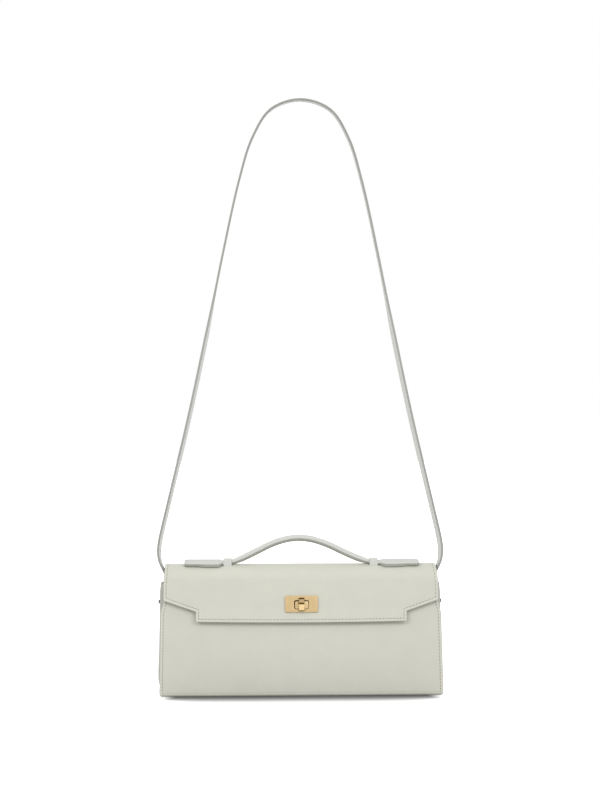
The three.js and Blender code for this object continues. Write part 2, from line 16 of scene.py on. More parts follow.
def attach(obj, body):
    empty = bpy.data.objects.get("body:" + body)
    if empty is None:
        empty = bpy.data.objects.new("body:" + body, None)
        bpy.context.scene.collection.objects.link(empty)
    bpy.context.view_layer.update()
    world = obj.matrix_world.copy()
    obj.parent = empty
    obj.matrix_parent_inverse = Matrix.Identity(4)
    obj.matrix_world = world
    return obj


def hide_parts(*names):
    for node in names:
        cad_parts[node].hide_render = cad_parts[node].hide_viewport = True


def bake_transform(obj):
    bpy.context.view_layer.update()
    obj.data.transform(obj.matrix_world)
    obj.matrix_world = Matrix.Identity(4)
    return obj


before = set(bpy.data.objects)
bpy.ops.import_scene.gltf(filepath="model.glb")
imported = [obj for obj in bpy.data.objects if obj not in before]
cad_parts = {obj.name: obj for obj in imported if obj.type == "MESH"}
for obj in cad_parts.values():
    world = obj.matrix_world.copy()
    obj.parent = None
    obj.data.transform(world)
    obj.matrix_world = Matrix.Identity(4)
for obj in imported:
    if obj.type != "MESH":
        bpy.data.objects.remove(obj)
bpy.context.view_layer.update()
MM = 0.001

# %% [markdown]
# ## Camera
# The bag is seen level from about two metres, with a long lens that keeps the strap's arch from spreading. The
# camera stands a few degrees to the left of the middle, so a little more of the left gusset shows than of the
# right one. The lens is given for the long side of an upright 600 by 800 frame.

# %% Camera
LENS, SENSOR = 99.75, 36
TURNED_LEFT = math.radians(3)
DISTANCE, ASIDE, EYE = 2.13, -0.0003, 0.2806
scene = bpy.context.scene
camera = bpy.data.objects.new("camera", bpy.data.cameras.new("camera"))
scene.collection.objects.link(camera)
camera.data.lens = LENS
camera.data.sensor_width = SENSOR
camera.location = (ASIDE * math.cos(TURNED_LEFT) - DISTANCE * math.sin(TURNED_LEFT),
                   -ASIDE * math.sin(TURNED_LEFT) - DISTANCE * math.cos(TURNED_LEFT), EYE)
camera.rotation_euler = (math.radians(90), 0, -TURNED_LEFT)
scene.camera = camera
scene.view_settings.view_transform = "Standard"
print("camera at", [round(value, 3) for value in camera.location])

# %% [markdown]
# ## Node helpers and colours
# Every finish below is a small node tree. Short helpers make a node, feed its inputs, and do sums and changes of
# range, so a finish reads from its coordinates to its shader. Colours are written as the eye sees them and made
# linear.

# %% Node helpers
def feed(tree, made, inputs):
    """Gives a node's inputs their values, or links them to other nodes."""
    for name, value in inputs.items():
        if isinstance(value, bpy.types.NodeSocket):
            tree.links.new(value, made.inputs[name])
        else:
            made.inputs[name].default_value = value


def node(tree, kind, inputs=None, **settings):
    made = tree.nodes.new("ShaderNode" + kind)
    for name, value in settings.items():
        setattr(made, name, value)
    feed(tree, made, inputs or {})
    return made


def maths(tree, operation, *values, clamp=False):
    return node(tree, "Math", dict(enumerate(values)), operation=operation, use_clamp=clamp).outputs[0]


def remap(tree, value, source=(0.0, 1.0), target=(0.0, 1.0), how="LINEAR"):
    """Takes a value from one range to another and holds it at both ends."""
    ends = dict(enumerate((value, *source, *target)))
    return node(tree, "MapRange", ends, interpolation_type=how).outputs[0]


def empty_tree(owner):
    owner.use_nodes = True
    owner.node_tree.nodes.clear()
    return owner.node_tree


print("helpers:", [helper.__name__ for helper in (feed, node, maths, remap, empty_tree)])


# %% Colours
def shade(red, green, blue):
    """A colour as the eye sees it, 0 to 255, made linear."""
    return (*[((value / 255 + 0.055) / 1.055) ** 2.4 for value in (red, green, blue)], 1.0)


def scaled(tone, factor):
    """A tone made deeper or paler."""
    return shade(*[min(255, value * factor) for value in tone])


print("mid grey in linear light:", round(shade(128, 128, 128)[0], 3))

# %% [markdown]
# ## Floor, background and light
# The bag stands on a white sweep in a light tent: nearly all of the light comes evenly from all round, and two
# weak lamps near the front, the left one slightly stronger, bring out the folds. The floor is a pale sheet that
# glows for the camera and for reflections only, so it runs into the white behind. A lens-shaped patch round the
# bag's foot is painted dim in the floor's colour and glow: a painted contact shadow over the real one.

# %% Floor: the painted contact shadow
SHADOW_HALF_LENGTH = 0.137
SHADOW_SQUARENESS = 5.0
SHADOW_START = 0.029
SHADOW_REACH, SHADOW_LEAST = 0.068, 0.0005
SHADOW_CORE = 0.05
SHADOW_ENDS = (0.118, 0.141)


def out_of_painted_shadow(tree):
    """0 in the painted shadow along the bag's foot, 1 away from it."""
    spot = node(tree, "TexCoord").outputs["Object"]
    folded = node(tree, "VectorMath", {0: spot}, operation="ABSOLUTE").outputs[0]
    across, deep = node(tree, "SeparateXYZ", {0: folded}).outputs[:2]
    share = maths(tree, "DIVIDE", across, SHADOW_HALF_LENGTH)
    inside = maths(tree, "SUBTRACT", 1.0, maths(tree, "POWER", share, SHADOW_SQUARENESS), clamp=True)
    width = maths(tree, "MULTIPLY_ADD", maths(tree, "SQRT", inside), SHADOW_REACH, SHADOW_LEAST)
    reach = maths(tree, "DIVIDE", maths(tree, "SUBTRACT", deep, SHADOW_START), width)
    front = remap(tree, reach, (SHADOW_CORE, 1.0), how="SMOOTHSTEP")
    ends = remap(tree, across, SHADOW_ENDS, how="SMOOTHSTEP")
    return maths(tree, "MAXIMUM", front, ends)


def seen_directly(tree):
    """1 for what the camera or a reflection sees, 0 for light that bounces."""
    path = node(tree, "LightPath").outputs
    either = maths(tree, "MAXIMUM", path["Is Camera Ray"], path["Is Glossy Ray"])
    return maths(tree, "MAXIMUM", either, path["Is Transmission Ray"])


print("shadow in mm:", round(2 * SHADOW_HALF_LENGTH / MM), "long,", round(SHADOW_REACH / MM), "at its widest")

# %% Floor: the sheet
GLOW = (0.04, 1.0)
PAPER_SEEN, PAPER_BOUNCE = (0.15, 0.7), (0.38, 0.7)
FLOOR_HALF, FLOOR_DROP = 8, 0.0002

floor_finish = bpy.data.materials.new("white_sweep")
tree = empty_tree(floor_finish)
clear = out_of_painted_shadow(tree)
seen = seen_directly(tree)
# Near the bag the paper is darker and its glow fades: a painted contact shadow.
tones = {0: seen, 2: remap(tree, clear, target=PAPER_BOUNCE), 3: remap(tree, clear, target=PAPER_SEEN)}
paper = node(tree, "BsdfDiffuse", {"Color": node(tree, "Mix", tones).outputs[0]})
strength = maths(tree, "MULTIPLY", seen, remap(tree, clear, target=GLOW))
glow = node(tree, "Emission", {"Color": (1, 1, 1, 1), "Strength": strength})
both = node(tree, "AddShader", {0: paper.outputs[0], 1: glow.outputs[0]})
node(tree, "OutputMaterial", {"Surface": both.outputs[0]})

ground = bmesh.new()
bmesh.ops.create_grid(ground, x_segments=1, y_segments=1, size=FLOOR_HALF)
bmesh.ops.translate(ground, verts=ground.verts, vec=(0, 0, -FLOOR_DROP))
floor_mesh = bpy.data.meshes.new("floor")
ground.to_mesh(floor_mesh)
ground.free()
floor_mesh.materials.append(floor_finish)
floor = bpy.data.objects.new("floor", floor_mesh)
scene.collection.objects.link(floor)
print("floor:", 2 * FLOOR_HALF, "m square")

# %% Background and lamps
ROOM_LIGHT, WHITE_BEHIND = 0.665, 1.0
LAMP_SIZE, LAMP_SPREAD = 0.4, math.radians(90)
LAMP_AIM = Vector((0, 0, 0.24))
LAMPS = {"left_lamp": ((-0.4, -0.62, 0.56), 0.46), "right_lamp": ((0.4, -0.62, 0.56), 0.41)}

scene.world = bpy.data.worlds.new("studio")
tree = empty_tree(scene.world)
room, white = [node(tree, "Background", {"Color": (1, 1, 1, 1), "Strength": strength}).outputs[0]
               for strength in (ROOM_LIGHT, WHITE_BEHIND)]
pick = node(tree, "MixShader", {0: seen_directly(tree), 1: room, 2: white})
node(tree, "OutputWorld", {"Surface": pick.outputs[0]})

for name, (place, watts) in LAMPS.items():
    data = bpy.data.lights.new(name, "AREA")
    data.size = LAMP_SIZE
    data.energy = watts
    data.spread = LAMP_SPREAD
    lamp = bpy.data.objects.new(name, data)
    lamp.location = place
    lamp.rotation_euler = (LAMP_AIM - Vector(place)).to_track_quat("-Z", "Y").to_euler()
    lamp.visible_camera = False
    scene.collection.objects.link(lamp)
print("lamps:", [item.name for item in bpy.data.lights])

# %% [markdown]
# ## Leather
# Smooth calf has a fine closed grain, a soft satin shine and hardly any colour change. A cell pattern of about
# half a millimetre gives the pores and slow noise gives the tone. Each sheet carries its distance from the cut
# edge as an attribute, which burnishes the rim and darkens the pressed line that the stitches lie in.

# %% Leather: patterns that finishes share
STITCH_INSET = 2.7


def new_finish(name):
    material = bpy.data.materials.new(name)
    material.use_nodes = True
    tree = material.node_tree
    return material, tree, tree.nodes["Principled BSDF"], node(tree, "TexCoord").outputs["Object"]


def mixed(tree, share, first, second, how="MIX"):
    colours = {0: share, 6: first, 7: second}
    return node(tree, "Mix", colours, data_type="RGBA", blend_type=how).outputs[2]


def mottle(tree, place, scale, detail, rough=0.5):
    pattern = {"Vector": place, "Scale": scale, "Detail": detail, "Roughness": rough}
    return node(tree, "TexNoise", pattern).outputs["Fac"]


def relief(tree, height, strength, distance):
    return node(tree, "Bump", {"Strength": strength, "Distance": distance, "Height": height}).outputs[0]


def swing(tree, pattern, middle, by):
    """Lets a value swing about its middle with a pattern."""
    return remap(tree, pattern, target=(middle - by, min(1.0, middle + by)))


def edge_tone(tree):
    """The burnished rim, the paler margin and the dark stitch line, by the distance from the cut edge.
    The margin's paleness is burnish together with a painted highlight where its roll catches light.
    """
    edge = node(tree, "Attribute", attribute_name="edge_mm").outputs["Fac"]
    rim = remap(tree, edge, (0.15, 0.8), (0.72, 1.0))
    # Painted highlight with burnish: the margin is paler where its roll catches light.
    margin = remap(tree, edge, (2.0, 2.5), (1.04, 1.0))
    off_line = maths(tree, "ABSOLUTE", maths(tree, "SUBTRACT", edge, STITCH_INSET))
    crease = remap(tree, off_line, (0.1, 0.6), (0.9, 1.0))
    return maths(tree, "MULTIPLY", maths(tree, "MULTIPLY", rim, margin), crease)


print("stitch line in mm from the edge:", STITCH_INSET)

# %% Leather: the finishes
TONE_SCALE, FINE_SCALE, PORE_SCALE = 55, 2600, 1700
SATIN, SATIN_SWING = 0.5, 0.06
LEATHER_DEEP, LEATHER_PALE = 0.975, 1.012


def leather_finish(name, tone):
    material, tree, skin, place = new_finish(name)
    slow = mottle(tree, place, TONE_SCALE, detail=3, rough=0.55)
    cells = {"Vector": place, "Scale": PORE_SCALE}
    pores = node(tree, "TexVoronoi", cells, feature="SMOOTH_F1").outputs["Distance"]
    grain = maths(tree, "ADD", pores, mottle(tree, place, FINE_SCALE, detail=2))
    colour = mixed(tree, slow, scaled(tone, LEATHER_DEEP), scaled(tone, LEATHER_PALE))
    feed(tree, skin, {"Base Color": mixed(tree, 1.0, colour, edge_tone(tree), "MULTIPLY"),
                      "Roughness": swing(tree, slow, SATIN, SATIN_SWING), "Specular IOR Level": 0.35,
                      "Sheen Weight": 0.06, "Normal": relief(tree, grain, strength=0.22, distance=0.00012)})
    return material


calf = leather_finish("sage_calf", (219, 219, 206))
strap_calf = leather_finish("strap_calf", (227, 228, 223))
handle_calf = leather_finish("handle_calf", (217, 218, 212))
# The gussets take a darker copy of the same calf: painted shade on the ends, which face sideways.
gusset_calf_painted_shade = leather_finish("gusset_calf_painted_shade", (182, 183, 172))
print("finishes:", [item.name for item in (calf, strap_calf, handle_calf, gusset_calf_painted_shade)])

# %% [markdown]
# ## Edge paint, suede, thread and board
# The cut edges are painted a shade greyer and rubbed smooth. The lining is a short-napped suede, so it is rough
# and has a sheen at grazing angles. The thread is waxed and twisted, and the boards are pressed pulp. They differ
# mostly in tone, roughness and the size of their fibres, so one helper makes them all.

# %% Edge paint, suede, thread and board
FIBRE_SWING = 0.07


def fibre_finish(name, tone, scale, rough, bump, stretch=(1, 1, 1), sheen=0.0, contrast=0.06):
    material, tree, body, place = new_finish(name)
    drawn = node(tree, "Mapping", {"Vector": place, "Scale": stretch}).outputs[0]
    fibres = mottle(tree, drawn, scale, detail=4, rough=0.65)
    feed(tree, body, {"Base Color": mixed(tree, fibres, scaled(tone, 1 - contrast), scaled(tone, 1 + contrast)),
                      "Roughness": swing(tree, fibres, rough, FIBRE_SWING), "Specular IOR Level": 0.3,
                      "Sheen Weight": sheen, "Normal": relief(tree, fibres, strength=bump, distance=0.0002)})
    return material


edge_paint = fibre_finish("edge_paint", (172, 174, 165), scale=900, rough=0.42, bump=0.12)
strap_edge = fibre_finish("strap_edge", (165, 166, 161), scale=900, rough=0.42, bump=0.12)
# The needle holes are dark beads: painted shade for the shadow inside each hole.
needle_hole_shade = fibre_finish("needle_hole_shade", (104, 102, 92), scale=1500, rough=0.85, bump=0.2)
suede = fibre_finish("lining_suede", (196, 193, 178), scale=1800, rough=0.9, bump=0.5, stretch=(1, 1, 0.6),
                     sheen=0.35)
thread = fibre_finish("waxed_thread", (206, 205, 191), scale=3200, rough=0.55, bump=0.5, stretch=(0.4, 1, 1),
                      sheen=0.1, contrast=0.1)
pulp = fibre_finish("pressed_board", (186, 170, 140), scale=700, rough=0.88, bump=0.35, stretch=(0.3, 1, 1),
                    contrast=0.1)
print("finishes:", [item.name for item in (edge_paint, strap_edge, needle_hole_shade, suede, thread, pulp)])

# %% [markdown]
# ## Gold and dark fittings
# The lock is plated in a pale gold and lightly brushed, and the rivets in a dark grey. A metal shows what is
# round it, so the shader stays simple: a metallic tone and fine streaks in its roughness. A darkening attribute
# carries tarnish in the hollows, where plating is never rubbed clean, with painted shade there as well; the gap
# round the lock's block and the knob's upper half and ends are darkened as painted shade alone.

# %% Gold and dark fittings
BRUSHED = (0.06, 1, 1)
STREAK_SCALE, CLOUD_SCALE = 5200, 160
STREAK_SWING = 0.07
GOLD_TARNISH_AND_SHADE = (74, 46, 12)


def metal_finish(name, tone, tarnish_and_shade_tone, rough):
    material, tree, plating, place = new_finish(name)
    drawn = node(tree, "Mapping", {"Vector": place, "Scale": BRUSHED}).outputs[0]
    streaks = mottle(tree, drawn, STREAK_SCALE, detail=3)
    rubbed = mixed(tree, mottle(tree, place, CLOUD_SCALE, detail=2), scaled(tone, 0.93), shade(*tone))
    tarnish_and_shade_share = node(tree, "Attribute", attribute_name="tarnish_and_shade").outputs["Fac"]
    feed(tree, plating, {"Base Color": mixed(tree, tarnish_and_shade_share, rubbed, shade(*tarnish_and_shade_tone)), "Metallic": 1.0,
                         "Roughness": swing(tree, streaks, rough, STREAK_SWING),
                         "Normal": relief(tree, streaks, strength=0.08, distance=0.00005)})
    return material


gold = metal_finish("pale_gold", (200, 175, 131), GOLD_TARNISH_AND_SHADE, rough=0.42)
rubbed_gold = metal_finish("rubbed_gold", (226, 199, 150), GOLD_TARNISH_AND_SHADE, rough=0.38)
gunmetal = metal_finish("dark_plating", (112, 114, 108), (52, 52, 48), rough=0.38)
print("finishes:", gold.name, rubbed_gold.name, gunmetal.name)

# %% [markdown]
# ## Sheets of leather
# Nearly all of the bag is cut from sheet, so one helper starts from a flat grid and moves its points onto the
# shape, the way a pattern piece is bent over a form. Its columns and rows can be close together near an edge,
# where the stitching and the turned rim need them. Thickness and the rounded rim come from modifiers.

# %% Sheets: a grid bent onto a shape
FAR_FROM_EDGE = 9.0


def sheet(columns, rows, place, edge=None):
    """A grid moved point by point onto place(column, row), in millimetres."""
    bm = bmesh.new()
    across, along = len(columns) - 1, len(rows) - 1
    bmesh.ops.create_grid(bm, x_segments=across, y_segments=along, size=0.5)
    rim = bm.verts.layers.float.new("edge_mm")
    for vert in bm.verts:
        column = columns[round((vert.co.x + 0.5) * across)]
        row = rows[round((vert.co.y + 0.5) * along)]
        vert.co = place(column, row)
        vert[rim] = edge(column, row) if edge else FAR_FROM_EDGE
    return bm


def turn_out(bm, inside, inward=False):
    """Points the faces of an open sheet away from a point, or towards it."""
    bm.normal_update()
    centre = Vector(inside)
    lean = sum((face.calc_center_median() - centre).dot(face.normal) * face.calc_area() for face in bm.faces)
    if (lean < 0) != inward:
        bmesh.ops.reverse_faces(bm, faces=bm.faces[:])


def spread(*runs):
    """Stations from (start, end, step) runs, each end given once."""
    stations = [runs[0][0]]
    for start, end, step in runs:
        count = max(1, round(abs(end - start) / step))
        stations += [start + (end - start) * (index + 1) / count for index in range(count)]
    return stations


print("stations of 100 mm, 4 mm apart:", len(spread((0, 100, 4))))

# %% Sheets: the finished piece
SHARP = math.radians(50)


def make(name, bm, *finishes, thick=0.0, offset=-1.0, soft=0.0, body=None, slot="leather", stands_for=()):
    """Turns a bmesh in millimetres into a finished piece in metres."""
    bmesh.ops.scale(bm, vec=(MM, MM, MM), verts=bm.verts)
    mesh = bpy.data.meshes.new(name)
    bm.to_mesh(mesh)
    bm.free()
    for finish in finishes:
        mesh.materials.append(finish)
    mesh.shade_smooth()
    mesh.set_sharp_from_angle(angle=SHARP)
    made = bpy.data.objects.new(name, mesh)
    scene.collection.objects.link(made)
    if thick:
        wall = made.modifiers.new("thickness", "SOLIDIFY")
        wall.thickness = thick * MM
        wall.offset = offset
        wall.material_offset_rim = min(1, len(finishes) - 1)
        wall.material_offset = 2 if len(finishes) > 2 else 0
    if soft:
        rounding = made.modifiers.new("rim", "BEVEL")
        rounding.width = soft * MM
        rounding.segments = 3
        rounding.limit_method = "ANGLE"
        rounding.angle_limit = SHARP
        rounding.harden_normals = True
    if body:
        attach(made, body)
    if stands_for:
        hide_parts(*stands_for)
    print(name, len(mesh.polygons), "faces")
    return made


print("edges stay sharp from", round(math.degrees(SHARP)), "degrees")


# %% Sheets: blends, ridges and unevenness
def share_of(value, low, high):
    """How far a value has come from low to high, held between 0 and 1."""
    return min(1.0, max(0.0, (value - low) / (high - low)))


def smoothstep(value, low, high):
    share = share_of(value, low, high)
    return share * share * (3 - 2 * share)


def lerp(first, second, share):
    return first + (second - first) * share


def ridge(offset, width, power=2):
    """A soft ridge, 1 in its middle."""
    return math.exp(-(offset / width) ** power)


def round_off(share):
    """How far a quarter round has drawn in, from 0 at its start to 1 at its end."""
    return 1 - math.sqrt(max(0.0, 1 - share * share))


def ripple(x, y, size, scale):
    """The slight unevenness of hand-laid leather."""
    return size * noise.noise(Vector((x / scale, y / scale, 3.7)))


print("a quarter of the way, a soft blend has gone", smoothstep(0.25, 0, 1))

# %% [markdown]
# ## Back and flap
# One hide makes the back, the crest and the flap. It is laid out flat: x across, and run along it, with 0 at the
# top of the back, where it hinges. The crest is a half roll, the front leans, and the front edge steps down in
# the middle. A pressed line follows the whole edge. The window for the lock is cut with four planes.

# %% Back and flap: the outline
CREST_RADIUS, CREST_Z = 17.0, 106.6
FRONT_LEAN = math.radians(9.4)
LOCK_Y, LOCK_Z = -16.5, 85.0
SEAM_Z = 4.3
BACK_LEAN = math.atan2(12.9, 102.6)
CREST_RUN = CREST_RADIUS * (math.pi - FRONT_LEAN)
CREST_END_Z = CREST_Z + CREST_RADIUS * math.sin(FRONT_LEAN)
BACK_RUN = -(CREST_Z - SEAM_Z) / math.cos(BACK_LEAN)
TIP_RUN, STEP_RUN, EDGE_RUN = [CREST_RUN + (CREST_END_Z - z) / math.cos(FRONT_LEAN) for z in (90.0, 79.5, 70.0)]
CREST_HALF, TIP_HALF, STEP_HALF = 129.6, 131.3, 100.5
TIP_ROUND, STEP_ROUND, FOOT_ROUND = 1.6, 1.2, 1.3
PANEL_FOOT_HALF, PANEL_HALF = 134.8, 134.0
PANEL_FOOT_Z, PANEL_Z, PANEL_TIP_Z = 4, 76, 89
HINGE_DRAW_IN, DRAWN_IN_RUN = 1.7, (-16, 2)
FLARE_RUN = (30, 58)


def panel_half(z):
    """Half the width of the front and the back, which draw in beside the flap's tips."""
    low = lerp(PANEL_FOOT_HALF, PANEL_HALF, share_of(z, PANEL_FOOT_Z, PANEL_Z))
    return lerp(low, TIP_HALF, smoothstep(z, PANEL_Z, PANEL_TIP_Z))


def back_z(run):
    return CREST_Z + run * math.cos(BACK_LEAN)


def corner_round(first, second, radius):
    """What a round takes off or fills in where two edges meet."""
    blend = max(0.0, radius - abs(first - second)) / radius
    return blend * blend * radius / 4


def top_half(run):
    """Half the width of the hide at a run."""
    if run <= 0:
        return panel_half(back_z(run)) - HINGE_DRAW_IN * smoothstep(run, *DRAWN_IN_RUN)
    side = lerp(CREST_HALF, TIP_HALF, smoothstep(run, *FLARE_RUN))
    slant = TIP_HALF + (STEP_HALF - TIP_HALF) * (run - TIP_RUN) / (STEP_RUN - TIP_RUN)
    outer = min(side, slant) - corner_round(side, slant, TIP_ROUND)
    half = max(outer, STEP_HALF) + corner_round(outer, STEP_HALF, STEP_ROUND)
    return half - FOOT_ROUND * round_off(max(0.0, run - (EDGE_RUN - FOOT_ROUND)) / FOOT_ROUND)


print("runs in mm: crest", round(CREST_RUN, 1), "tip", round(TIP_RUN, 1), "edge", round(EDGE_RUN, 1))

# %% Back and flap: the bend
FLAP_THICK = 1.4
BELLY = 1.6
BACK_BELLY = (4, 106.2)
EDGE_SAG, EDGE_LIFT = 1.0, 0.9
SAG_BEFORE, LIFT_BEFORE = 8, 6
BACK_RIPPLE, FLAP_RIPPLE = (0.2, 45), (0.16, 50)
CALM_CREST = 20


def sagged(x, run):
    """The lower edge hangs a little in the middle."""
    share = x / STEP_HALF
    return run + EDGE_SAG * max(0.0, 1 - share * share) * smoothstep(run, STEP_RUN - SAG_BEFORE, EDGE_RUN)


def top_point(x, run, lift=0.0):
    """The outer face of the hide, lifted along its normal."""
    if run < 0:
        z = back_z(run)
        share = x / panel_half(z)
        swell = BELLY * (1 - share * share) * math.sin(math.pi * share_of(z, *BACK_BELLY))
        lift += max(0.0, swell) + ripple(x, run, *BACK_RIPPLE)
        y = CREST_RADIUS - run * math.sin(BACK_LEAN) + lift * math.cos(BACK_LEAN)
        return Vector((x, y, z + lift * math.sin(BACK_LEAN)))
    lift += ripple(x, run, *FLAP_RIPPLE) * smoothstep(run, 0, CALM_CREST)
    lift += EDGE_LIFT * smoothstep(run, STEP_RUN - LIFT_BEFORE, EDGE_RUN)
    if run < CREST_RUN:
        angle = run / CREST_RADIUS
        radius = CREST_RADIUS + lift
        return Vector((x, radius * math.cos(angle), CREST_Z + radius * math.sin(angle)))
    down = run - CREST_RUN
    y = -CREST_RADIUS * math.cos(FRONT_LEAN) - down * math.sin(FRONT_LEAN) - lift * math.cos(FRONT_LEAN)
    z = CREST_END_Z - down * math.cos(FRONT_LEAN) + lift * math.sin(FRONT_LEAN)
    return Vector((x, y, z))


print("crest's highest point in mm:", round(top_point(0, CREST_RADIUS * math.pi / 2).z, 1))

# %% Back and flap: the pressed edge
GROOVE_DEPTH, GROOVE_WIDTH = 0.2, 0.5
RIM_ROLL, RIM_WIDTH = 0.3, 1.0


def from_edge(x, run):
    """How far a point of the flat hide lies inside its outline."""
    def off(ax, ar, bx, br):
        along = Vector((bx - ax, br - ar))
        share = share_of(Vector((abs(x) - ax, run - ar)).dot(along), 0, along.length_squared)
        return (Vector((ax, ar)) + along * share - Vector((abs(x), run))).length
    side = top_half(run) - abs(x) if run < TIP_RUN else math.inf
    slant = off(TIP_HALF, TIP_RUN, STEP_HALF, STEP_RUN)
    step = off(STEP_HALF, STEP_RUN, STEP_HALF, EDGE_RUN)
    foot = sagged(x, EDGE_RUN) - run if abs(x) < STEP_HALF else math.inf
    return max(0.0, min(side, slant, step, foot))


def pressed(inset):
    """The stitch groove and the rolled rim, as a lift at a distance from the edge."""
    groove = -GROOVE_DEPTH * ridge(inset - STITCH_INSET, GROOVE_WIDTH)
    return groove - RIM_ROLL * max(0.0, 1 - inset / RIM_WIDTH) ** 2


print("lift in the stitch line in mm:", pressed(STITCH_INSET))

# %% Back and flap: columns and the lock's window
RIM_BAND, CLOSE_BAND = 4.4, 14.0
WINDOW = {(1, 0, 0): 7.4, (0, 1, 0): 6.7}
WINDOW_NEAR, WINDOW_DEEP = 26, 12
LOCK_FRAME = Matrix.Translation((0, LOCK_Y, LOCK_Z)) @ Matrix.Rotation(math.pi / 2 - FRONT_LEAN, 4, "X")


def edge_columns(half):
    """Columns from -1 to 1, close together along both edges."""
    insets = spread((0, RIM_BAND, 0.55), (RIM_BAND, CLOSE_BAND, 1.2), (CLOSE_BAND, half, 6.0))
    left = [inset / half - 1 for inset in insets]
    return left + [-share for share in reversed(left[:-1])]


def cut_window(bm):
    """Cuts the lock's window out of a sheet, in the lock's frame."""
    into = LOCK_FRAME.inverted()
    for normal, reach in WINDOW.items():
        for side in (-1, 1):
            axis = Vector(normal) * side
            near = [face for face in bm.faces if (into @ face.calc_center_median()).length < WINDOW_NEAR]
            geom = near + list({edge for face in near for edge in face.edges})
            geom += list({vert for face in near for vert in face.verts})
            direction = (LOCK_FRAME.to_3x3() @ axis).normalized()
            bmesh.ops.bisect_plane(bm, geom=geom, plane_co=LOCK_FRAME @ (axis * reach), plane_no=direction)
    half_width, half_height = WINDOW.values()
    gone = []
    for face in bm.faces:
        spot = into @ face.calc_center_median()
        if abs(spot.x) < half_width and abs(spot.y) < half_height and abs(spot.z) < WINDOW_DEEP:
            gone.append(face)
    bmesh.ops.delete(bm, geom=gone, context="FACES")


HIDE_COLUMNS = edge_columns(130.0)
print("columns across the hide:", len(HIDE_COLUMNS))

# %% Back and flap: the hide
FOLD_REACH, FOLD_BEHIND, FOLD_PASSES = 7, 12, 8
INSIDE = (0, 0, 60)


def hide_spot(share, run):
    x = share * top_half(run)
    low = sagged(x, run)
    return top_point(x, low, pressed(from_edge(x, low)))


def hide_edge(share, run):
    x = share * top_half(run)
    return from_edge(x, sagged(x, run))


hide_rows = spread((BACK_RUN, BACK_RUN + 5, 0.7), (BACK_RUN + 5, -10, 4), (-10, 10, 1.2), (10, CREST_RUN, 1.6),
                   (CREST_RUN, TIP_RUN - 5, 1.6), (TIP_RUN - 5, EDGE_RUN, 0.45))
hide = sheet(HIDE_COLUMNS, hide_rows, hide_spot, hide_edge)
fold = [vert for vert in hide.verts if abs(vert.co.z - CREST_Z) < FOLD_REACH and vert.co.y > FOLD_BEHIND]
for _ in range(FOLD_PASSES):
    bmesh.ops.smooth_vert(hide, verts=fold, factor=0.5, use_axis_y=True, use_axis_z=True)
cut_window(hide)
turn_out(hide, INSIDE)
flap_hide = make("flap_and_back_hide", hide, calf, edge_paint, thick=FLAP_THICK, soft=0.3,
                 stands_for=("flap_leather", "back_panel"))
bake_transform(flap_hide)

# %% [markdown]
# ## Flap lining
# The inside of the flap is faced with suede, cut a little smaller than the leather and glued to it. It is the
# same layout moved in by the leather's thickness.

# %% Flap lining
LINING_INSET = 1.2
LINING_THICK = 0.8
GLUE = 0.15


def flap_lining_spot(share, run):
    x = share * (top_half(min(run + LINING_INSET, EDGE_RUN - FOOT_ROUND)) - LINING_INSET)
    return top_point(x, sagged(x, run), -FLAP_THICK - GLUE)


lining_rows = spread((-5, 10, 1.2), (10, CREST_RUN, 1.8), (CREST_RUN, TIP_RUN - 4, 2.5),
                     (TIP_RUN - 4, EDGE_RUN - LINING_INSET, 0.6))
flap_lining = sheet(HIDE_COLUMNS, lining_rows, flap_lining_spot)
cut_window(flap_lining)
turn_out(flap_lining, INSIDE)
flap_suede = make("flap_suede_lining", flap_lining, suede, edge_paint, thick=LINING_THICK, soft=0.2,
                  slot="lining", stands_for=("flap_lining",))
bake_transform(flap_suede)

# %% [markdown]
# ## Front and base
# The front leather is turned over the mouth and runs a little way down inside, so the mouth has a soft round hem.
# Below the flap it swells slightly, then it rolls under the bag, crosses the ground and turns up into the seam at
# the foot of the back. Board and leather fold together, which leaves a faint line along the bottom roll.

# %% Front and base: the path
HEM_RADIUS, HEM_DROP, HEM_UP = 2.9, 8.0, 17.1
FRONT_THICK = 1.2
BELLY_TOP_Z = 66.0
FRONT_RIPPLE = (0.2, 38)
BASE_CORNER, BACK_CORNER = 2.6, 4.4
BASE_BACK_Y = 29.9 - BACK_CORNER
BACK_ROLL = 1.45
BASE_DRAW_IN = 1.4
ROLL_TOP_Z = BASE_CORNER * (1 + math.sin(FRONT_LEAN))
ROLL_TOP_UP = (ROLL_TOP_Z - LOCK_Z) / math.cos(FRONT_LEAN)


def on_front(x, up, out):
    """A point on the front, in the lock's frame: across, up the slope and out of the face."""
    return LOCK_FRAME @ Vector((x, up, out))


def front_z(up):
    return LOCK_Z + up * math.cos(FRONT_LEAN)


def front_swell(x, up):
    z = front_z(up)
    share = x / panel_half(z)
    height = share_of(z, ROLL_TOP_Z, BELLY_TOP_Z)
    return (BELLY * max(0.0, 1 - share * share) + ripple(x, up, *FRONT_RIPPLE)) * math.sin(math.pi * height)


ROLL_CENTRE_Y = on_front(0, ROLL_TOP_UP, 0).y + BASE_CORNER * math.cos(FRONT_LEAN)
SLOPE_LENGTH = HEM_UP - ROLL_TOP_UP
ROLL_LENGTH = BASE_CORNER * (math.pi / 2 + FRONT_LEAN)
FLAT_LENGTH = BASE_BACK_Y - ROLL_CENTRE_Y
FOLD_PATH = SLOPE_LENGTH - 0.1
print("lengths in mm: slope", round(SLOPE_LENGTH, 1), "roll", round(ROLL_LENGTH, 1), "flat", round(FLAT_LENGTH, 1))


# %% Front and base: the sheet
def front_half(path):
    z = front_z(HEM_UP - min(SLOPE_LENGTH, max(0.0, path)))
    return panel_half(z) - BASE_DRAW_IN * smoothstep(path, SLOPE_LENGTH - 1, SLOPE_LENGTH + ROLL_LENGTH)


def front_edge(share, path):
    """The distance from the side edge, or from the stitch line where the leather folds under."""
    return min(front_half(path) * (1 - abs(share)), STITCH_INSET + abs(path - FOLD_PATH))


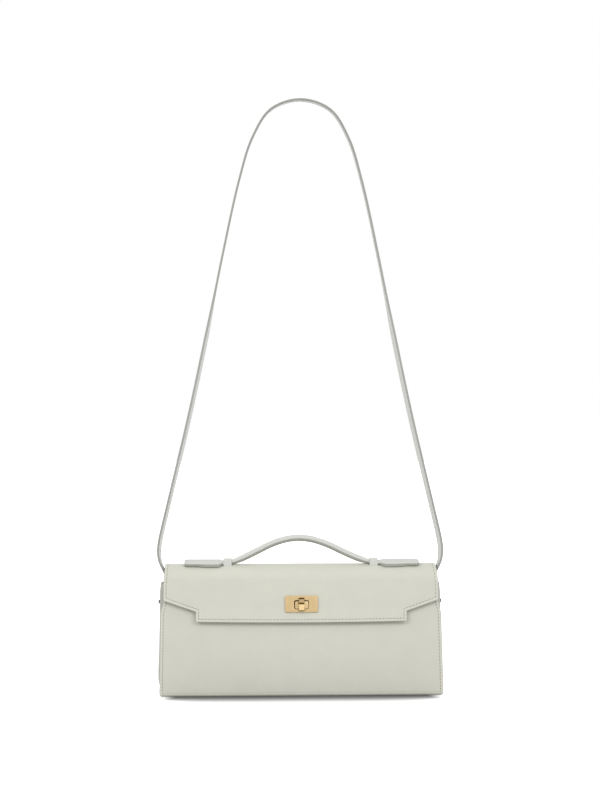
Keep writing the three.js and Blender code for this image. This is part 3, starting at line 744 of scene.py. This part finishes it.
def front_spot(share, path):
    """path runs down the outside from the mouth; below zero it goes over the hem and inside."""
    x = share * front_half(path)
    lift = pressed(front_edge(share, path))
    if path < 0:
        turn = min(math.pi, -path / HEM_RADIUS)
        below = max(0.0, -path - math.pi * HEM_RADIUS)
        up = HEM_UP + HEM_RADIUS * math.sin(turn) - below
        return on_front(x, up, HEM_RADIUS * (math.cos(turn) - 1) + lift)
    if path < SLOPE_LENGTH:
        up = HEM_UP - path
        return on_front(x, up, front_swell(x, up) + lift)
    reach = BASE_CORNER + lift
    rolled = path - SLOPE_LENGTH
    if rolled < ROLL_LENGTH:
        angle = math.pi - FRONT_LEAN + rolled / BASE_CORNER
        return Vector((x, ROLL_CENTRE_Y + reach * math.cos(angle), BASE_CORNER + reach * math.sin(angle)))
    along = rolled - ROLL_LENGTH
    if along < FLAT_LENGTH:
        return Vector((x, ROLL_CENTRE_Y + along, -lift))
    angle = 1.5 * math.pi + (along - FLAT_LENGTH) / BACK_CORNER
    reach = BACK_CORNER + lift
    return Vector((x, BASE_BACK_Y + reach * math.cos(angle), BACK_CORNER + reach * math.sin(angle)))


hem_run = -math.pi * HEM_RADIUS
roll_end = SLOPE_LENGTH + ROLL_LENGTH
flat_end = roll_end + FLAT_LENGTH
front_rows = spread((hem_run - HEM_DROP, hem_run, 2.0), (hem_run, 0, 0.9), (0, SLOPE_LENGTH - 3, 2.8),
                    (SLOPE_LENGTH - 3, roll_end, 0.35), (roll_end, flat_end, 5.0),
                    (flat_end, flat_end + BACK_CORNER * BACK_ROLL, 0.6))
front = sheet(edge_columns(132.0), front_rows, front_spot, front_edge)
turn_out(front, INSIDE)
make("front_and_base_leather", front, calf, edge_paint, thick=FRONT_THICK, soft=0.3, body="bag_body",
     stands_for=("front_panel", "base_panel"))

# %% [markdown]
# ## Gussets
# Each end of the bag is a bowed gusset whose flanges are sewn behind the front and the back. Soft leather never
# stays flat there, so the web swells outwards, most in its lower half, and has a shallow upright crease.

# %% Gussets: the shape
GUSSET_THICK = 1.5
GUSSET_TOP_Z = 105.6
GUSSET_FLANGE, GUSSET_BEND = 7.0, 1.6
GUSSET_BOW, BOW_GROWS_Z = 3.6, (-3, 16)
BOW_LOSS, BOW_FADES_Z = 0.35, (94, 108)
GUSSET_LAYER = 1.9
GUSSET_FOOT_HALF, GUSSET_HALF, NARROWS_Z = 133.0, 131.5, (4, 75)
WEB_FOOT_Z, FLANGE_FOOT_Z = 1.8, 4.5
CREASE_DEPTH, CREASE_WIDTH, CREASE_Z = 0.5, 0.22, (20, 60)
GUSSET_RIPPLE = (0.25, 25)
SIDES = {"left": -1, "right": 1}


def front_y(z, depth):
    return LOCK_Y - (LOCK_Z - z) * math.tan(FRONT_LEAN) + depth / math.cos(FRONT_LEAN)


def back_y(z, depth):
    return CREST_RADIUS + (CREST_Z - z) * math.tan(BACK_LEAN) - depth / math.cos(BACK_LEAN)


def web_bow(side, column, z):
    """How far the web stands out: its bow, its crease and its unevenness."""
    bow = GUSSET_BOW * smoothstep(z, *BOW_GROWS_Z) * (1 - BOW_LOSS * smoothstep(z, *BOW_FADES_Z))
    crease = -CREASE_DEPTH * ridge(column, CREASE_WIDTH) * smoothstep(z, *CREASE_Z)
    return bow * (1 - column * column) + crease + ripple(column * 20, z + side * 50, *GUSSET_RIPPLE)


def gusset_spot(side, column, row):
    """column: -1 to 1 is the web, up to 2 either way is a bend, up to 3 a flange."""
    web = abs(column)
    z = lerp(lerp(WEB_FOOT_Z, FLANGE_FOOT_Z, smoothstep(web, 1.0, 2.0)), GUSSET_TOP_Z, row)
    half = lerp(GUSSET_FOOT_HALF, GUSSET_HALF, share_of(z, *NARROWS_Z))
    front, back = front_y(z, GUSSET_LAYER), back_y(z, GUSSET_LAYER)
    if web <= 1:
        y = lerp(front + GUSSET_BEND, back - GUSSET_BEND, (column + 1) / 2)
        return Vector((side * (half + web_bow(side, column, z) * (1 - column ** 8)), y, z))
    turn = min(1.0, web - 1) * math.pi / 2
    into = half - GUSSET_BEND * (1 - math.cos(turn)) - max(0.0, web - 2) * (GUSSET_FLANGE - GUSSET_BEND)
    reach = GUSSET_BEND * (1 - math.sin(turn))
    return Vector((side * into, front + reach if column < 0 else back - reach, z))


print("gusset in mm: foot", round(back_y(4, 0) - front_y(4, 0)), "top", round(back_y(105, 0) - front_y(105, 0)))

# %% Gussets: the two pieces
GUSSET_HEIGHT = 103
gusset_columns = spread((-3, -2, 0.34), (-2, -1, 0.2), (-1, 1, 0.07), (1, 2, 0.2), (2, 3, 0.34))
gusset_rows = spread((0, 0.97, 0.03), (0.97, 1, 0.006))
for name, side in SIDES.items():
    gusset = sheet(gusset_columns, gusset_rows, lambda column, row: gusset_spot(side, column, row),
                   lambda column, row: (1 - row) * GUSSET_HEIGHT)
    turn_out(gusset, INSIDE)
    make("gusset_leather_" + name, gusset, gusset_calf_painted_shade, edge_paint, suede, thick=GUSSET_THICK, soft=0.3,
         body="bag_body", stands_for=("gusset_" + name,))

# %% [markdown]
# ## Inner lining
# The compartment is lined with one strip of suede. It starts under the hem of the mouth, goes down the front,
# across the floor and up the back, and is turned over at the top of the back board. Round corners at the floor
# let it lie without a crease.

# %% Inner lining
LINING_FACE = 4.5
LINING_TOP_Z, LINING_LOW_Z, LINING_FLOOR_Z = 102, 12, 5.0
LINING_CORNER = ((8, 8, 0.4), (6, 5.7, 2.2))
LINING_TURN = ((103.4, 4.1), (104.5, 3.0), (105, 1.7))
LINING_FLOOR_HALF, LINING_HALF, LINING_NARROWS_Z = 130.6, 128.0, (5, 14)
LINING_FLOOR_Y = 19


def lining_path():
    """The lining's visible face as points in Y and Z, from the front hem round to the top of the back."""
    points = [(front_y(z, LINING_FACE), z) for z in spread((LINING_TOP_Z, LINING_LOW_Z, 6))]
    points += [(front_y(at, LINING_FACE) + drawn_in, z) for at, z, drawn_in in LINING_CORNER]
    points += [(y, LINING_FLOOR_Z) for y in spread((-LINING_FLOOR_Y, LINING_FLOOR_Y, 4))]
    points += [(back_y(at, LINING_FACE) - drawn_in, z) for at, z, drawn_in in reversed(LINING_CORNER)]
    points += [(back_y(z, LINING_FACE), z) for z in spread((LINING_LOW_Z, LINING_TOP_Z, 6))]
    return points + [(back_y(z, depth), z) for z, depth in LINING_TURN]


inner_run = lining_path()


def lining_spot(share, station):
    y, z = inner_run[station]
    half = lerp(LINING_FLOOR_HALF, LINING_HALF, smoothstep(z, *LINING_NARROWS_Z))
    return Vector((share * half, y, z))


inner = sheet(edge_columns(LINING_HALF), range(len(inner_run)), lining_spot)
turn_out(inner, INSIDE, inward=True)
make("inner_suede_lining", inner, suede, edge_paint, thick=LINING_THICK, soft=0.2, body="bag_body", slot="lining",
     stands_for=("front_lining", "back_lining", "base_lining"))

# %% [markdown]
# ## Shoulder strap
# The strap is one flat band. Its ends are riveted inside the gussets, it comes out under the sides of the crest,
# and it rises into a tall arch, turned a little about its own length. The route is a few points that a smooth
# curve goes through. Where it leaves the bag it bends.

# %% Shoulder strap: a smooth route
CURVE_STEPS = 20


def smooth_run(points, spacing):
    """Even stations and their directions along a centripetal curve through the points."""
    ends = [2 * points[0] - points[1], *points, 2 * points[-1] - points[-2]]
    dense = []
    for before, start, end, after in zip(ends, ends[1:], ends[2:], ends[3:]):
        first = (start - before).length ** 0.5
        second = first + (end - start).length ** 0.5
        third = second + (after - end).length ** 0.5
        for step in range(CURVE_STEPS):
            at = lerp(first, second, step / CURVE_STEPS)
            near = before.lerp(start, at / first)
            middle = start.lerp(end, (at - first) / (second - first))
            far = end.lerp(after, (at - second) / (third - second))
            low = near.lerp(middle, at / second)
            high = middle.lerp(far, (at - first) / (third - first))
            dense.append(low.lerp(high, (at - first) / (second - first)))
    dense.append(points[-1])
    lengths = [0.0]
    for start, end in zip(dense, dense[1:]):
        lengths.append(lengths[-1] + (end - start).length)
    count = round(lengths[-1] / spacing)
    stations = []
    at = 0
    for step in range(count + 1):
        reach = lengths[-1] * step / count
        while at < len(dense) - 2 and lengths[at + 1] < reach:
            at += 1
        share = (reach - lengths[at]) / (lengths[at + 1] - lengths[at])
        stations.append((dense[at].lerp(dense[at + 1], share), (dense[at + 1] - dense[at]).normalized()))
    return stations


def arch(run, top, y=0.0):
    """A left and right run of X and Z points joined over the top."""
    right = [Vector((x, y, z)) for x, z in run]
    left = [Vector((-x, y, z)) for x, z in run]
    return [*left, Vector((top[0], y, top[1])), *right[::-1]]


STRAP_FOOT = [(131, 78), (131, 92), (129.6, 98.5), (128.5, 106), (129, 113)]
STRAP_RISE = [(131.6, 119), (134, 124.5), (135.2, 130.5), (135.4, 136.5), (134.5, 145), (125.4, 184.6), (107, 262),
              (90.6, 339), (75.5, 416), (58.5, 493), (46.3, 532), (28.5, 559.5)]
STRAP_TOP = (0, 569)
STRAP_PITCH = 5.0
strap_line = smooth_run(arch(STRAP_FOOT + STRAP_RISE, STRAP_TOP), STRAP_PITCH)
print("strap length in mm:", round(STRAP_PITCH * (len(strap_line) - 1)))

# %% Shoulder strap: the band
STRAP_HALF_WIDTH = 5.5
STRAP_THICK = 2.2
STRAP_TWIST = math.radians(13)
TWISTS_Z, UNTWISTS_Z = (112, 140), (330, 400)
BAND_COLUMNS = spread((-1, 1, 0.2))


def band_edge(half_width):
    """A band has no stitch line, so its distances from the edge begin beyond it."""
    return lambda share, station: half_width * (1 - abs(share)) + STITCH_INSET + 1


def strap_spot(share, station):
    middle, along = strap_line[station]
    twist = STRAP_TWIST * smoothstep(middle.z, *TWISTS_Z) * (1 - smoothstep(middle.z, *UNTWISTS_Z))
    across = Matrix.Rotation(-twist, 3, along) @ Vector((0, 1, 0))
    return middle + across * share * STRAP_HALF_WIDTH


strap = sheet(BAND_COLUMNS, range(len(strap_line)), strap_spot, band_edge(STRAP_HALF_WIDTH))
strap_band = make("strap_leather", strap, strap_calf, strap_edge, thick=STRAP_THICK, offset=0.0, soft=0.5,
                  stands_for=("shoulder_strap", "strap_end_left", "strap_end_right"))
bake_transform(strap_band)

# %% [markdown]
# ## Rivets
# A domed rivet holds each strap end to its gusset. A rivet is a turned part, so its half outline is drawn with a
# few points and spun about its own axis.

# %% Rivets
RIVET_FACE, RIVET_Z = 135.2, 87.5
RIVET_HEAD, RIVET_POST = 1.8, 1.3
RIVET_DOME, RIVET_SHOULDER = 0.9, 0.5
RIVET_LENGTH, RIVET_SEAT, RIVET_CHAMFER = 7.0, 0.8, 0.2


def turned(outline, sides=32):
    """Spins an outline of (radius, height) about Z and closes it."""
    bm = bmesh.new()
    verts = [bm.verts.new((radius, 0, height)) for radius, height in outline]
    edges = [bm.edges.new(pair) for pair in zip(verts, verts[1:])]
    bmesh.ops.spin(bm, geom=verts + edges, cent=(0, 0, 0), axis=(0, 0, 1), angle=2 * math.pi, steps=sides,
                   use_merge=True)
    bmesh.ops.remove_doubles(bm, verts=bm.verts, dist=1e-4)
    bmesh.ops.recalc_face_normals(bm, faces=bm.faces)
    return bm


stem = [(0, -RIVET_LENGTH), (RIVET_POST, -RIVET_LENGTH), (RIVET_POST, -RIVET_SEAT),
        (RIVET_HEAD - RIVET_CHAMFER, -RIVET_SEAT), (RIVET_HEAD, RIVET_CHAMFER - RIVET_SEAT)]
dome = [(RIVET_HEAD * math.cos(angle), RIVET_SHOULDER + (RIVET_DOME - RIVET_SHOULDER) * math.sin(angle))
        for angle in spread((0, math.pi / 2, math.pi / 16))]
for name, side in SIDES.items():
    rivet = turned([*stem, *dome])
    bmesh.ops.rotate(rivet, verts=rivet.verts, matrix=Matrix.Rotation(side * math.pi / 2, 3, "Y"))
    bmesh.ops.translate(rivet, verts=rivet.verts, vec=(side * RIVET_FACE, 0, RIVET_Z))
    make("strap_rivet_head_" + name, rivet, gunmetal, body="bag_body", slot="gunmetal",
         stands_for=("strap_rivet_" + name,))

# %% [markdown]
# ## Handle grip
# The grip is leather rolled round a cord and sewn along its underside. A tube follows a smooth arch, and its
# section has a small ridge where the two edges meet. The leather puckers a little on the inside of the bends. The
# handle has slid a little to the right, so its left flank stands fuller than its right one.

# %% Handle grip
HANDLE_Y = -4.3
GRIP_RADIUS, GRIP_END_RADIUS = 3.0, 2.2
GRIP_TAPER = (68, 54)
GRIP_AXIS_Z = 125.3
GRIP_RISE = [(73.4, GRIP_AXIS_Z), (69, GRIP_AXIS_Z), (64.5, 126.0), (57.5, 128.4), (50, 131.6), (40, 136.3),
             (30, 141.2), (20, 145.1), (10, 147.7)]
GRIP_TOP = (0, 148.6)
GRIP_PITCH = 1.5
GRIP_SWAY, SWAY_SPAN = 0.7, 64
SEAM_RISE, SEAM_WIDTH, SEAM_ZONE = 0.3, 0.24, 0.9
BESIDE_DEPTH, BESIDE_WIDTH, BESIDE_AT = 0.18, 0.16, 0.5
PUCKER = (0.07, 5)
PAINTED_SHADE_UNDERSIDE = -0.15
grip_line = smooth_run(arch(GRIP_RISE, GRIP_TOP, HANDLE_Y), GRIP_PITCH)


def grip_spot(angle, station):
    """angle 0 is the underside, where the seam lies."""
    middle, along = grip_line[station]
    down = Vector((along.z, 0, -along.x)).normalized()
    off_seam = math.pi - abs(angle - math.pi)
    seam = SEAM_RISE * ridge(off_seam, SEAM_WIDTH)
    beside = -BESIDE_DEPTH * ridge(off_seam - BESIDE_AT, BESIDE_WIDTH)
    pucker = ripple(station * GRIP_PITCH, angle * 3, *PUCKER) * abs(math.sin(angle / 2))
    body = lerp(GRIP_END_RADIUS, GRIP_RADIUS, smoothstep(abs(middle.x), *GRIP_TAPER))
    reach = body + seam + beside + pucker
    sway = -GRIP_SWAY * math.sin(math.pi * min(1.0, max(-1.0, middle.x / SWAY_SPAN)))
    outward = down * math.cos(angle) + Vector((0, 1, 0)) * math.sin(angle)
    return middle + Vector((0, 0, sway)) + reach * outward


def close_tube(bm, gap):
    """Joins the long edges of a sheet that is rolled into a tube, and caps its ends."""
    bmesh.ops.remove_doubles(bm, verts=bm.verts, dist=gap)
    bmesh.ops.holes_fill(bm, edges=[edge for edge in bm.edges if edge.is_boundary], sides=0)
    bmesh.ops.recalc_face_normals(bm, faces=bm.faces)


WHOLE_TURN = 2 * math.pi
grip_angles = spread((0, SEAM_ZONE, 0.1), (SEAM_ZONE, WHOLE_TURN - SEAM_ZONE, 0.26),
                     (WHOLE_TURN - SEAM_ZONE, WHOLE_TURN, 0.1))
grip = sheet(grip_angles, range(len(grip_line)), grip_spot)
close_tube(grip, 0.02)
# The underside takes the greyer edge paint: the painted seam edges, widened over most of the lower half as painted
# shade.
for face in grip.faces:
    if face.normal.z < PAINTED_SHADE_UNDERSIDE:
        face.material_index = 1
make("handle_grip_leather", grip, handle_calf, edge_paint, body="handle", stands_for=("handle_grip", "handle_core"))

# %% [markdown]
# ## Handle keepers
# Two leather loops hold the grip down. Each is a band that goes up from the crest, over the grip and down again,
# with its feet spread on the crest and sewn through. The band is a sheet along a short curve.

# %% Handle keepers
KEEPER_X, KEEPER_WIDTH = 70.0, 7.9
KEEPER_WALL, KEEPER_CROWN = 0.9, 0.2
KEEPER_FOOT = [(4.2, -0.7), (3.9, 0.5)]
KEEPER_RISE = [(3.5, 125.2), (3.3, 126.8), (2.5, 128.3), (1.2, 128.9)]
KEEPER_TOP_Z = 129.0


def on_crest(x, across, lift):
    """A point over the crest: across is measured along its round, lift off its leather."""
    angle = across / CREST_RADIUS
    reach = CREST_RADIUS + lift
    return Vector((x, reach * math.sin(angle), CREST_Z + reach * math.cos(angle)))


def keeper_half(side):
    """The band's outer face on one side of the grip, from its sunken foot upwards."""
    foot = [on_crest(0, HANDLE_Y + side * across, lift) for across, lift in KEEPER_FOOT]
    return foot + [Vector((0, HANDLE_Y + side * out, z)) for out, z in KEEPER_RISE]


keeper_top = Vector((0, HANDLE_Y, KEEPER_TOP_Z))
keeper_line = smooth_run([*keeper_half(-1), keeper_top, *keeper_half(1)[::-1]], 0.6)


def keeper_spot(side, share, station):
    middle, along = keeper_line[station]
    outward = Vector((0, -along.z, along.y))
    along_grip = Vector((side * KEEPER_X + share * KEEPER_WIDTH / 2, 0, 0))
    return middle + outward * KEEPER_CROWN * (1 - share * share) + along_grip


for name, side in SIDES.items():
    keeper = sheet(BAND_COLUMNS, range(len(keeper_line)),
                   lambda share, station: keeper_spot(side, share, station), band_edge(KEEPER_WIDTH / 2))
    turn_out(keeper, (side * KEEPER_X, HANDLE_Y, GRIP_AXIS_Z))
    make("handle_keeper_leather_" + name, keeper, handle_calf, edge_paint, suede, thick=KEEPER_WALL, soft=0.25,
         body="flap", stands_for=("handle_keeper_" + name,))

# %% [markdown]
# ## Handle tabs
# Past each keeper the grip flattens into a tab that lies on the crest. Its section changes along the way: round
# at the keeper, then a flat strip with square painted edges that follows the round of the crest, with a rounded
# end. A closed ring of points, pushed from a circle towards a box, makes both. The handle has slid a little to
# the right, so the right neck is longer, and the tabs' front edges hang lower near the neck.

# %% Handle tabs
TAB_ROOT, TAB_NECK, TAB_SHOULDER, TAB_OUTER = 72.2, 73.6, 80.0, 112.5
NECK_HALF, NECK_THICK = 2.8, 3.8
TAB_HALF, TAB_THICK = 5.8, 4.2
TAB_END_ROUND, END_DRAW_IN, END_THINS = 3.2, 2.0, 1.6
BOX_ABOVE, BOX_BELOW = 0.24, 0.55
TAB_SLIDE = 1.3
TAB_DROOP, DROOP_FADE = 1.5, (91, 102)
TAB_OFF_CREST = 0.15
PAINTED_BELOW = 0.7


def boxed(value, power):
    return math.copysign(abs(value) ** power, value)


def tab_spot(side, angle, x):
    flat = smoothstep(x, TAB_NECK - side * TAB_SLIDE, TAB_SHOULDER)
    end = round_off(max(0.0, (x - (TAB_OUTER - TAB_END_ROUND)) / TAB_END_ROUND))
    half = lerp(NECK_HALF, TAB_HALF, flat) - END_DRAW_IN * end
    thick = lerp(NECK_THICK, TAB_THICK, flat) - END_THINS * end
    power = lerp(1.0, BOX_ABOVE if math.sin(angle) > 0 else BOX_BELOW, flat)
    level = (1 + boxed(math.sin(angle), power)) / 2
    if math.cos(angle) < 0:
        half += TAB_DROOP * flat * (1 - smoothstep(x, *DROOP_FADE)) * (1 - level)
    across = HANDLE_Y + half * boxed(math.cos(angle), power)
    return on_crest(side * x + TAB_SLIDE, across, thick * level + TAB_OFF_CREST)


tab_angles = spread((0, WHOLE_TURN, math.pi / 32))
tab_stations = spread((TAB_ROOT, TAB_SHOULDER, 0.6), (TAB_SHOULDER, TAB_OUTER - TAB_END_ROUND, 2.0),
                      (TAB_OUTER - TAB_END_ROUND, TAB_OUTER, 0.2))
for name, side in SIDES.items():
    tab = sheet(tab_angles, tab_stations, lambda angle, x: tab_spot(side, angle, x))
    close_tube(tab, 0.004)
    for face in tab.faces:
        spot = face.calc_center_median()
        outward = Vector((0, spot.y, spot.z - CREST_Z)).normalized()
        painted = face.normal.dot(outward) < PAINTED_BELOW
        face.material_index = 1 if painted and abs(spot.x) > TAB_NECK + 1 else 0
    make("handle_tab_leather_" + name, tab, handle_calf, edge_paint, body="flap",
         stands_for=("handle_tab_" + name,))

# %% [markdown]
# ## Turn lock
# The plate on the flap has a slot, and a block on the front of the bag comes through it. A two-lobed knob on the
# block turns across the slot and holds the flap. Rounded outlines are made by moving the corners of a circle
# apart. The plate joins two such loops, and bevels give every edge the highlight that plating shows.

# %% Turn lock: shaping helpers
def rounded_loop(bm, width, height, corner, out, rise=0.0, segments=48):
    """A rounded rectangle, from a circle whose quarters are moved apart."""
    made = bmesh.ops.create_circle(bm, cap_ends=False, radius=corner, segments=segments)
    bmesh.ops.rotate(bm, verts=made["verts"], matrix=Matrix.Rotation(math.pi / segments, 3, "Z"))
    for vert in made["verts"]:
        across = math.copysign(width / 2 - corner, vert.co.x)
        up = math.copysign(height / 2 - corner, vert.co.y)
        vert.co += Vector((across, up + rise, out))
    return list({edge for vert in made["verts"] for edge in vert.link_edges})


def grow(bm, **how):
    """Extrudes a flat figure and gives back the points of its new top."""
    grown = bmesh.ops.extrude_face_region(bm, geom=bm.faces[:], **how)
    return [item for item in grown["geom"] if isinstance(item, bmesh.types.BMVert)]


def raise_up(bm, height):
    """Gives a flat figure its thickness and points its faces out."""
    bmesh.ops.translate(bm, verts=grow(bm), vec=(0, 0, height))
    bmesh.ops.recalc_face_normals(bm, faces=bm.faces)


def soften(bm, width, segments=3, angle=40):
    sharp = [edge for edge in bm.edges if edge.is_manifold and edge.calc_face_angle() > math.radians(angle)]
    bmesh.ops.bevel(bm, geom=sharp, offset=width, segments=segments, profile=0.5, affect="EDGES", material=-1)


def store_tarnish_and_shade(bm, amount):
    """Stores how dark the plating is at each point, from tarnish and painted shade;
    amount is asked for a point in the lock's frame.
    """
    layer = bm.verts.layers.float.new("tarnish_and_shade")
    for vert in bm.verts:
        vert[layer] = amount(vert.co)


print("lock's middle in mm:", [round(value, 1) for value in LOCK_FRAME.translation])

# %% Turn lock: plate and block
PLATE = {"width": 31.0, "height": 15.5, "corner": 0.9, "rise": 0.7}
SLOT = {"width": 14.0, "height": 8.4, "corner": 1.5}
BLOCK = {"width": 13.0, "height": 7.4, "corner": 1.2}
PLATE_FROM, PLATE_TO = 4.5, 6.1
BLOCK_FROM, BLOCK_TO = 0.05, 5.5
BLOCK_PLAY = 0.25
PLATE_BEVEL, BLOCK_BEVEL = 0.22, 0.4
GAP_LEFT_OF, GAP_ABOVE = -5, 3
GAP_LEFT, GAP_TOP, GAP_REST = 1.0, 0.55, 0.15
SLOT_MARGIN, PLATE_FACE, BLOCK_FACE = 0.12, 0.05, 0.3


def gap_painted_shade(spot):
    """Painted shade in the gap round the block: darkest on the left, then at the top."""
    if spot.x < GAP_LEFT_OF:
        return GAP_LEFT
    return GAP_TOP if spot.y > GAP_ABOVE else GAP_REST


def in_slot(spot):
    half_width, half_height = SLOT["width"] / 2 + SLOT_MARGIN, SLOT["height"] / 2 + SLOT_MARGIN
    inside = abs(spot.x) < half_width and abs(spot.y) < half_height
    return gap_painted_shade(spot) if inside and spot.z <= PLATE_TO - PLATE_FACE else 0.0


def below_top(spot):
    return gap_painted_shade(spot) if spot.z < BLOCK_TO - BLOCK_FACE else 0.0


plate = bmesh.new()
loops = rounded_loop(plate, out=PLATE_FROM, **PLATE) + rounded_loop(plate, out=PLATE_FROM, **SLOT)
bmesh.ops.bridge_loops(plate, edges=loops)
raise_up(plate, PLATE_TO - PLATE_FROM)
soften(plate, PLATE_BEVEL)
store_tarnish_and_shade(plate, in_slot)
plate.transform(LOCK_FRAME)
make("lock_plate_gold", plate, gold, body="flap", slot="gold", stands_for=("lock_plate",))

block = bmesh.new()
bmesh.ops.contextual_create(block, geom=rounded_loop(block, out=BLOCK_FROM, **BLOCK))
raise_up(block, BLOCK_TO - BLOCK_FROM)
soften(block, BLOCK_BEVEL)
store_tarnish_and_shade(block, below_top)
bmesh.ops.translate(block, verts=block.verts, vec=(BLOCK_PLAY, -BLOCK_PLAY, 0))
block.transform(LOCK_FRAME)
make("lock_block_gold", block, gold, body="bag_body", slot="gold", stands_for=("lock_base",))

# %% Turn lock: knob
KNOB_HALF, KNOB_WIDTH = 6.5, 5.2
KNOB_FROM = 6.6
KNOB_LOBE, KNOB_VALLEY = 3.1, 2.0
LOBE_FROM, LOBE_AT, END_FALL = 0.05, 0.72, 0.86
KNOB_BEVEL = 0.5
DARK_AT, DARK_WIDTH = 0.9, 0.8
UPPER_PAINTED_SHADE, UPPER_Y = 0.5, (1.0, 2.0)
TOP_END_PAINTED_SHADE, LOW_END_PAINTED_SHADE, END_Y = 0.7, 0.4, (4.6, 5.6)
FOOT_DARK, FOOT_Z = 0.6, (0.2, 1.4)


def knob_crown(up):
    """The height of the knob's back along its length: two lobes and a valley."""
    share = abs(up) / KNOB_HALF
    swell = lerp(KNOB_VALLEY, KNOB_LOBE, smoothstep(share, LOBE_FROM, LOBE_AT))
    return swell * math.sqrt(max(0.0, 1 - max(0.0, (share - LOBE_AT) / (1 - LOBE_AT)) ** 2 * END_FALL))


def knob_tarnish_and_shade(spot):
    """Plating is rubbed bright on the lobes and darkened in the valley and round the foot, tarnish with painted
    shade; the upper half and both ends are darkened as painted shade.
    """
    valley = ridge(spot.y - DARK_AT, DARK_WIDTH, power=4)
    upper = UPPER_PAINTED_SHADE * smoothstep(spot.y, *UPPER_Y)
    ends = (TOP_END_PAINTED_SHADE if spot.y > 0 else LOW_END_PAINTED_SHADE) * smoothstep(abs(spot.y), *END_Y)
    foot = FOOT_DARK * (1 - smoothstep(spot.z, *FOOT_Z))
    return min(1.0, valley + upper + ends + foot)


knob = bmesh.new()
bmesh.ops.create_grid(knob, x_segments=8, y_segments=44, size=0.5)
bmesh.ops.scale(knob, vec=(KNOB_WIDTH, 2 * KNOB_HALF, 1), verts=knob.verts)
bmesh.ops.recalc_face_normals(knob, faces=knob.faces)
for vert in grow(knob, use_keep_orig=True):
    vert.co.z = knob_crown(vert.co.y)
bmesh.ops.recalc_face_normals(knob, faces=knob.faces)
soften(knob, KNOB_BEVEL, segments=4, angle=50)
store_tarnish_and_shade(knob, knob_tarnish_and_shade)
bmesh.ops.translate(knob, verts=knob.verts, vec=(0, 0, KNOB_FROM))
knob.transform(LOCK_FRAME)
make("lock_knob_gold", knob, rubbed_gold, body="turn_knob", slot="gold", stands_for=("lock_knob",))

# %% [markdown]
# ## Stitching
# A saddle stitch is a row of short slanted legs with a needle hole between them, sunk in the pressed line. Each
# leg is a small low-faced ball stretched along the row and each hole a dark bead set flush with the leather,
# painted shade that stands for the hollow of the hole.

# %% Stitching: the needle
STITCH_PITCH = 3.4
LEG_SIZE = (1.1, 0.36, 0.36, 1)
HOLE_SIZE = (0.4, 0.5, 0.2, 1)
LEG_SINK, HOLE_SINK = -0.12, -0.16
STITCH_SLANT = 0.16


def bead(bm, middle, turn, size):
    place = Matrix.Translation(middle) @ turn @ Matrix.Diagonal(size)
    return bmesh.ops.create_uvsphere(bm, u_segments=6, v_segments=4, radius=1, matrix=place)["verts"]


def sew(bm, surface, legs):
    """Stitches along straight legs of a flat layout; surface(x, run, lift) gives the place."""
    for start, end in zip(legs, legs[1:]):
        start, end = Vector(start), Vector(end)
        count = max(1, round((end - start).length / STITCH_PITCH))
        for index in range(count):
            here = start.lerp(end, (index + 0.5) / count)
            ahead = start.lerp(end, (index + 1) / count)
            middle = surface(here.x, here.y, LEG_SINK)
            along = (surface(ahead.x, ahead.y, LEG_SINK) - middle).normalized()
            outward = (surface(here.x, here.y, 1.0) - middle).normalized()
            slant = (along + outward.cross(along).normalized() * STITCH_SLANT).normalized()
            turn = Matrix((slant, outward.cross(slant), outward)).transposed().to_4x4()
            bead(bm, middle, turn, LEG_SIZE)
            hole = bead(bm, surface(ahead.x, ahead.y, HOLE_SINK), turn, HOLE_SIZE)
            for face in {face for vert in hole for face in vert.link_faces}:
                face.material_index = 1


print("stitches to 10 cm:", round(100 / STITCH_PITCH))

# %% Stitching: flap and front
CORNER_BEFORE = 1.92

inside_foot = EDGE_RUN - STITCH_INSET
flap_seam = bmesh.new()
for side in SIDES.values():
    side_runs = spread((BACK_RUN + 3, TIP_RUN - CORNER_BEFORE - 1, 11))
    hem = [(side * (top_half(run) - STITCH_INSET), run) for run in side_runs]
    corner = side * (STEP_HALF - STITCH_INSET)
    sew(flap_seam, top_point, [*hem, (corner, STEP_RUN - CORNER_BEFORE), (corner, inside_foot - 0.2)])
foot_xs = spread((STITCH_INSET - STEP_HALF, STEP_HALF - STITCH_INSET, 13))
sew(flap_seam, top_point, [(x, sagged(x, EDGE_RUN) - STITCH_INSET) for x in foot_xs])
stitches = make("flap_stitching", flap_seam, thread, needle_hole_shade)
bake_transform(stitches)

front_seam = bmesh.new()
for side in SIDES.values():
    ups = spread((ROLL_TOP_UP, HEM_UP - 2, 6))
    edge = [(side * (panel_half(front_z(up)) - STITCH_INSET), up) for up in ups]
    sew(front_seam, lambda x, up, lift: on_front(x, up, front_swell(x, up) + lift), edge)
make("front_stitching", front_seam, thread, needle_hole_shade, body="bag_body")

# %% [markdown]
# ## Hidden pieces
# Boards, backing plates, screws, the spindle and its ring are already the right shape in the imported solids, so
# they keep their meshes and only get a finish.

# %% Hidden pieces
HIDDEN = {pulp: ("front_board", "back_board", "base_board"),
          gold: ("lock_base_backing", "lock_spring_washer", "lock_spindle", "lock_clip"),
          gunmetal: ("strap_rivet_cap_left", "strap_rivet_cap_right")}
PAIRED = ("lock_plate_backing_", "lock_plate_screw_", "lock_base_screw_")
HIDDEN[gold] += tuple(stem + name for stem in PAIRED for name in SIDES)
for finish, names in HIDDEN.items():
    for name in names:
        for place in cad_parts[name].material_slots:
            place.material = finish
print("finished solids:", sum(len(names) for names in HIDDEN.values()))
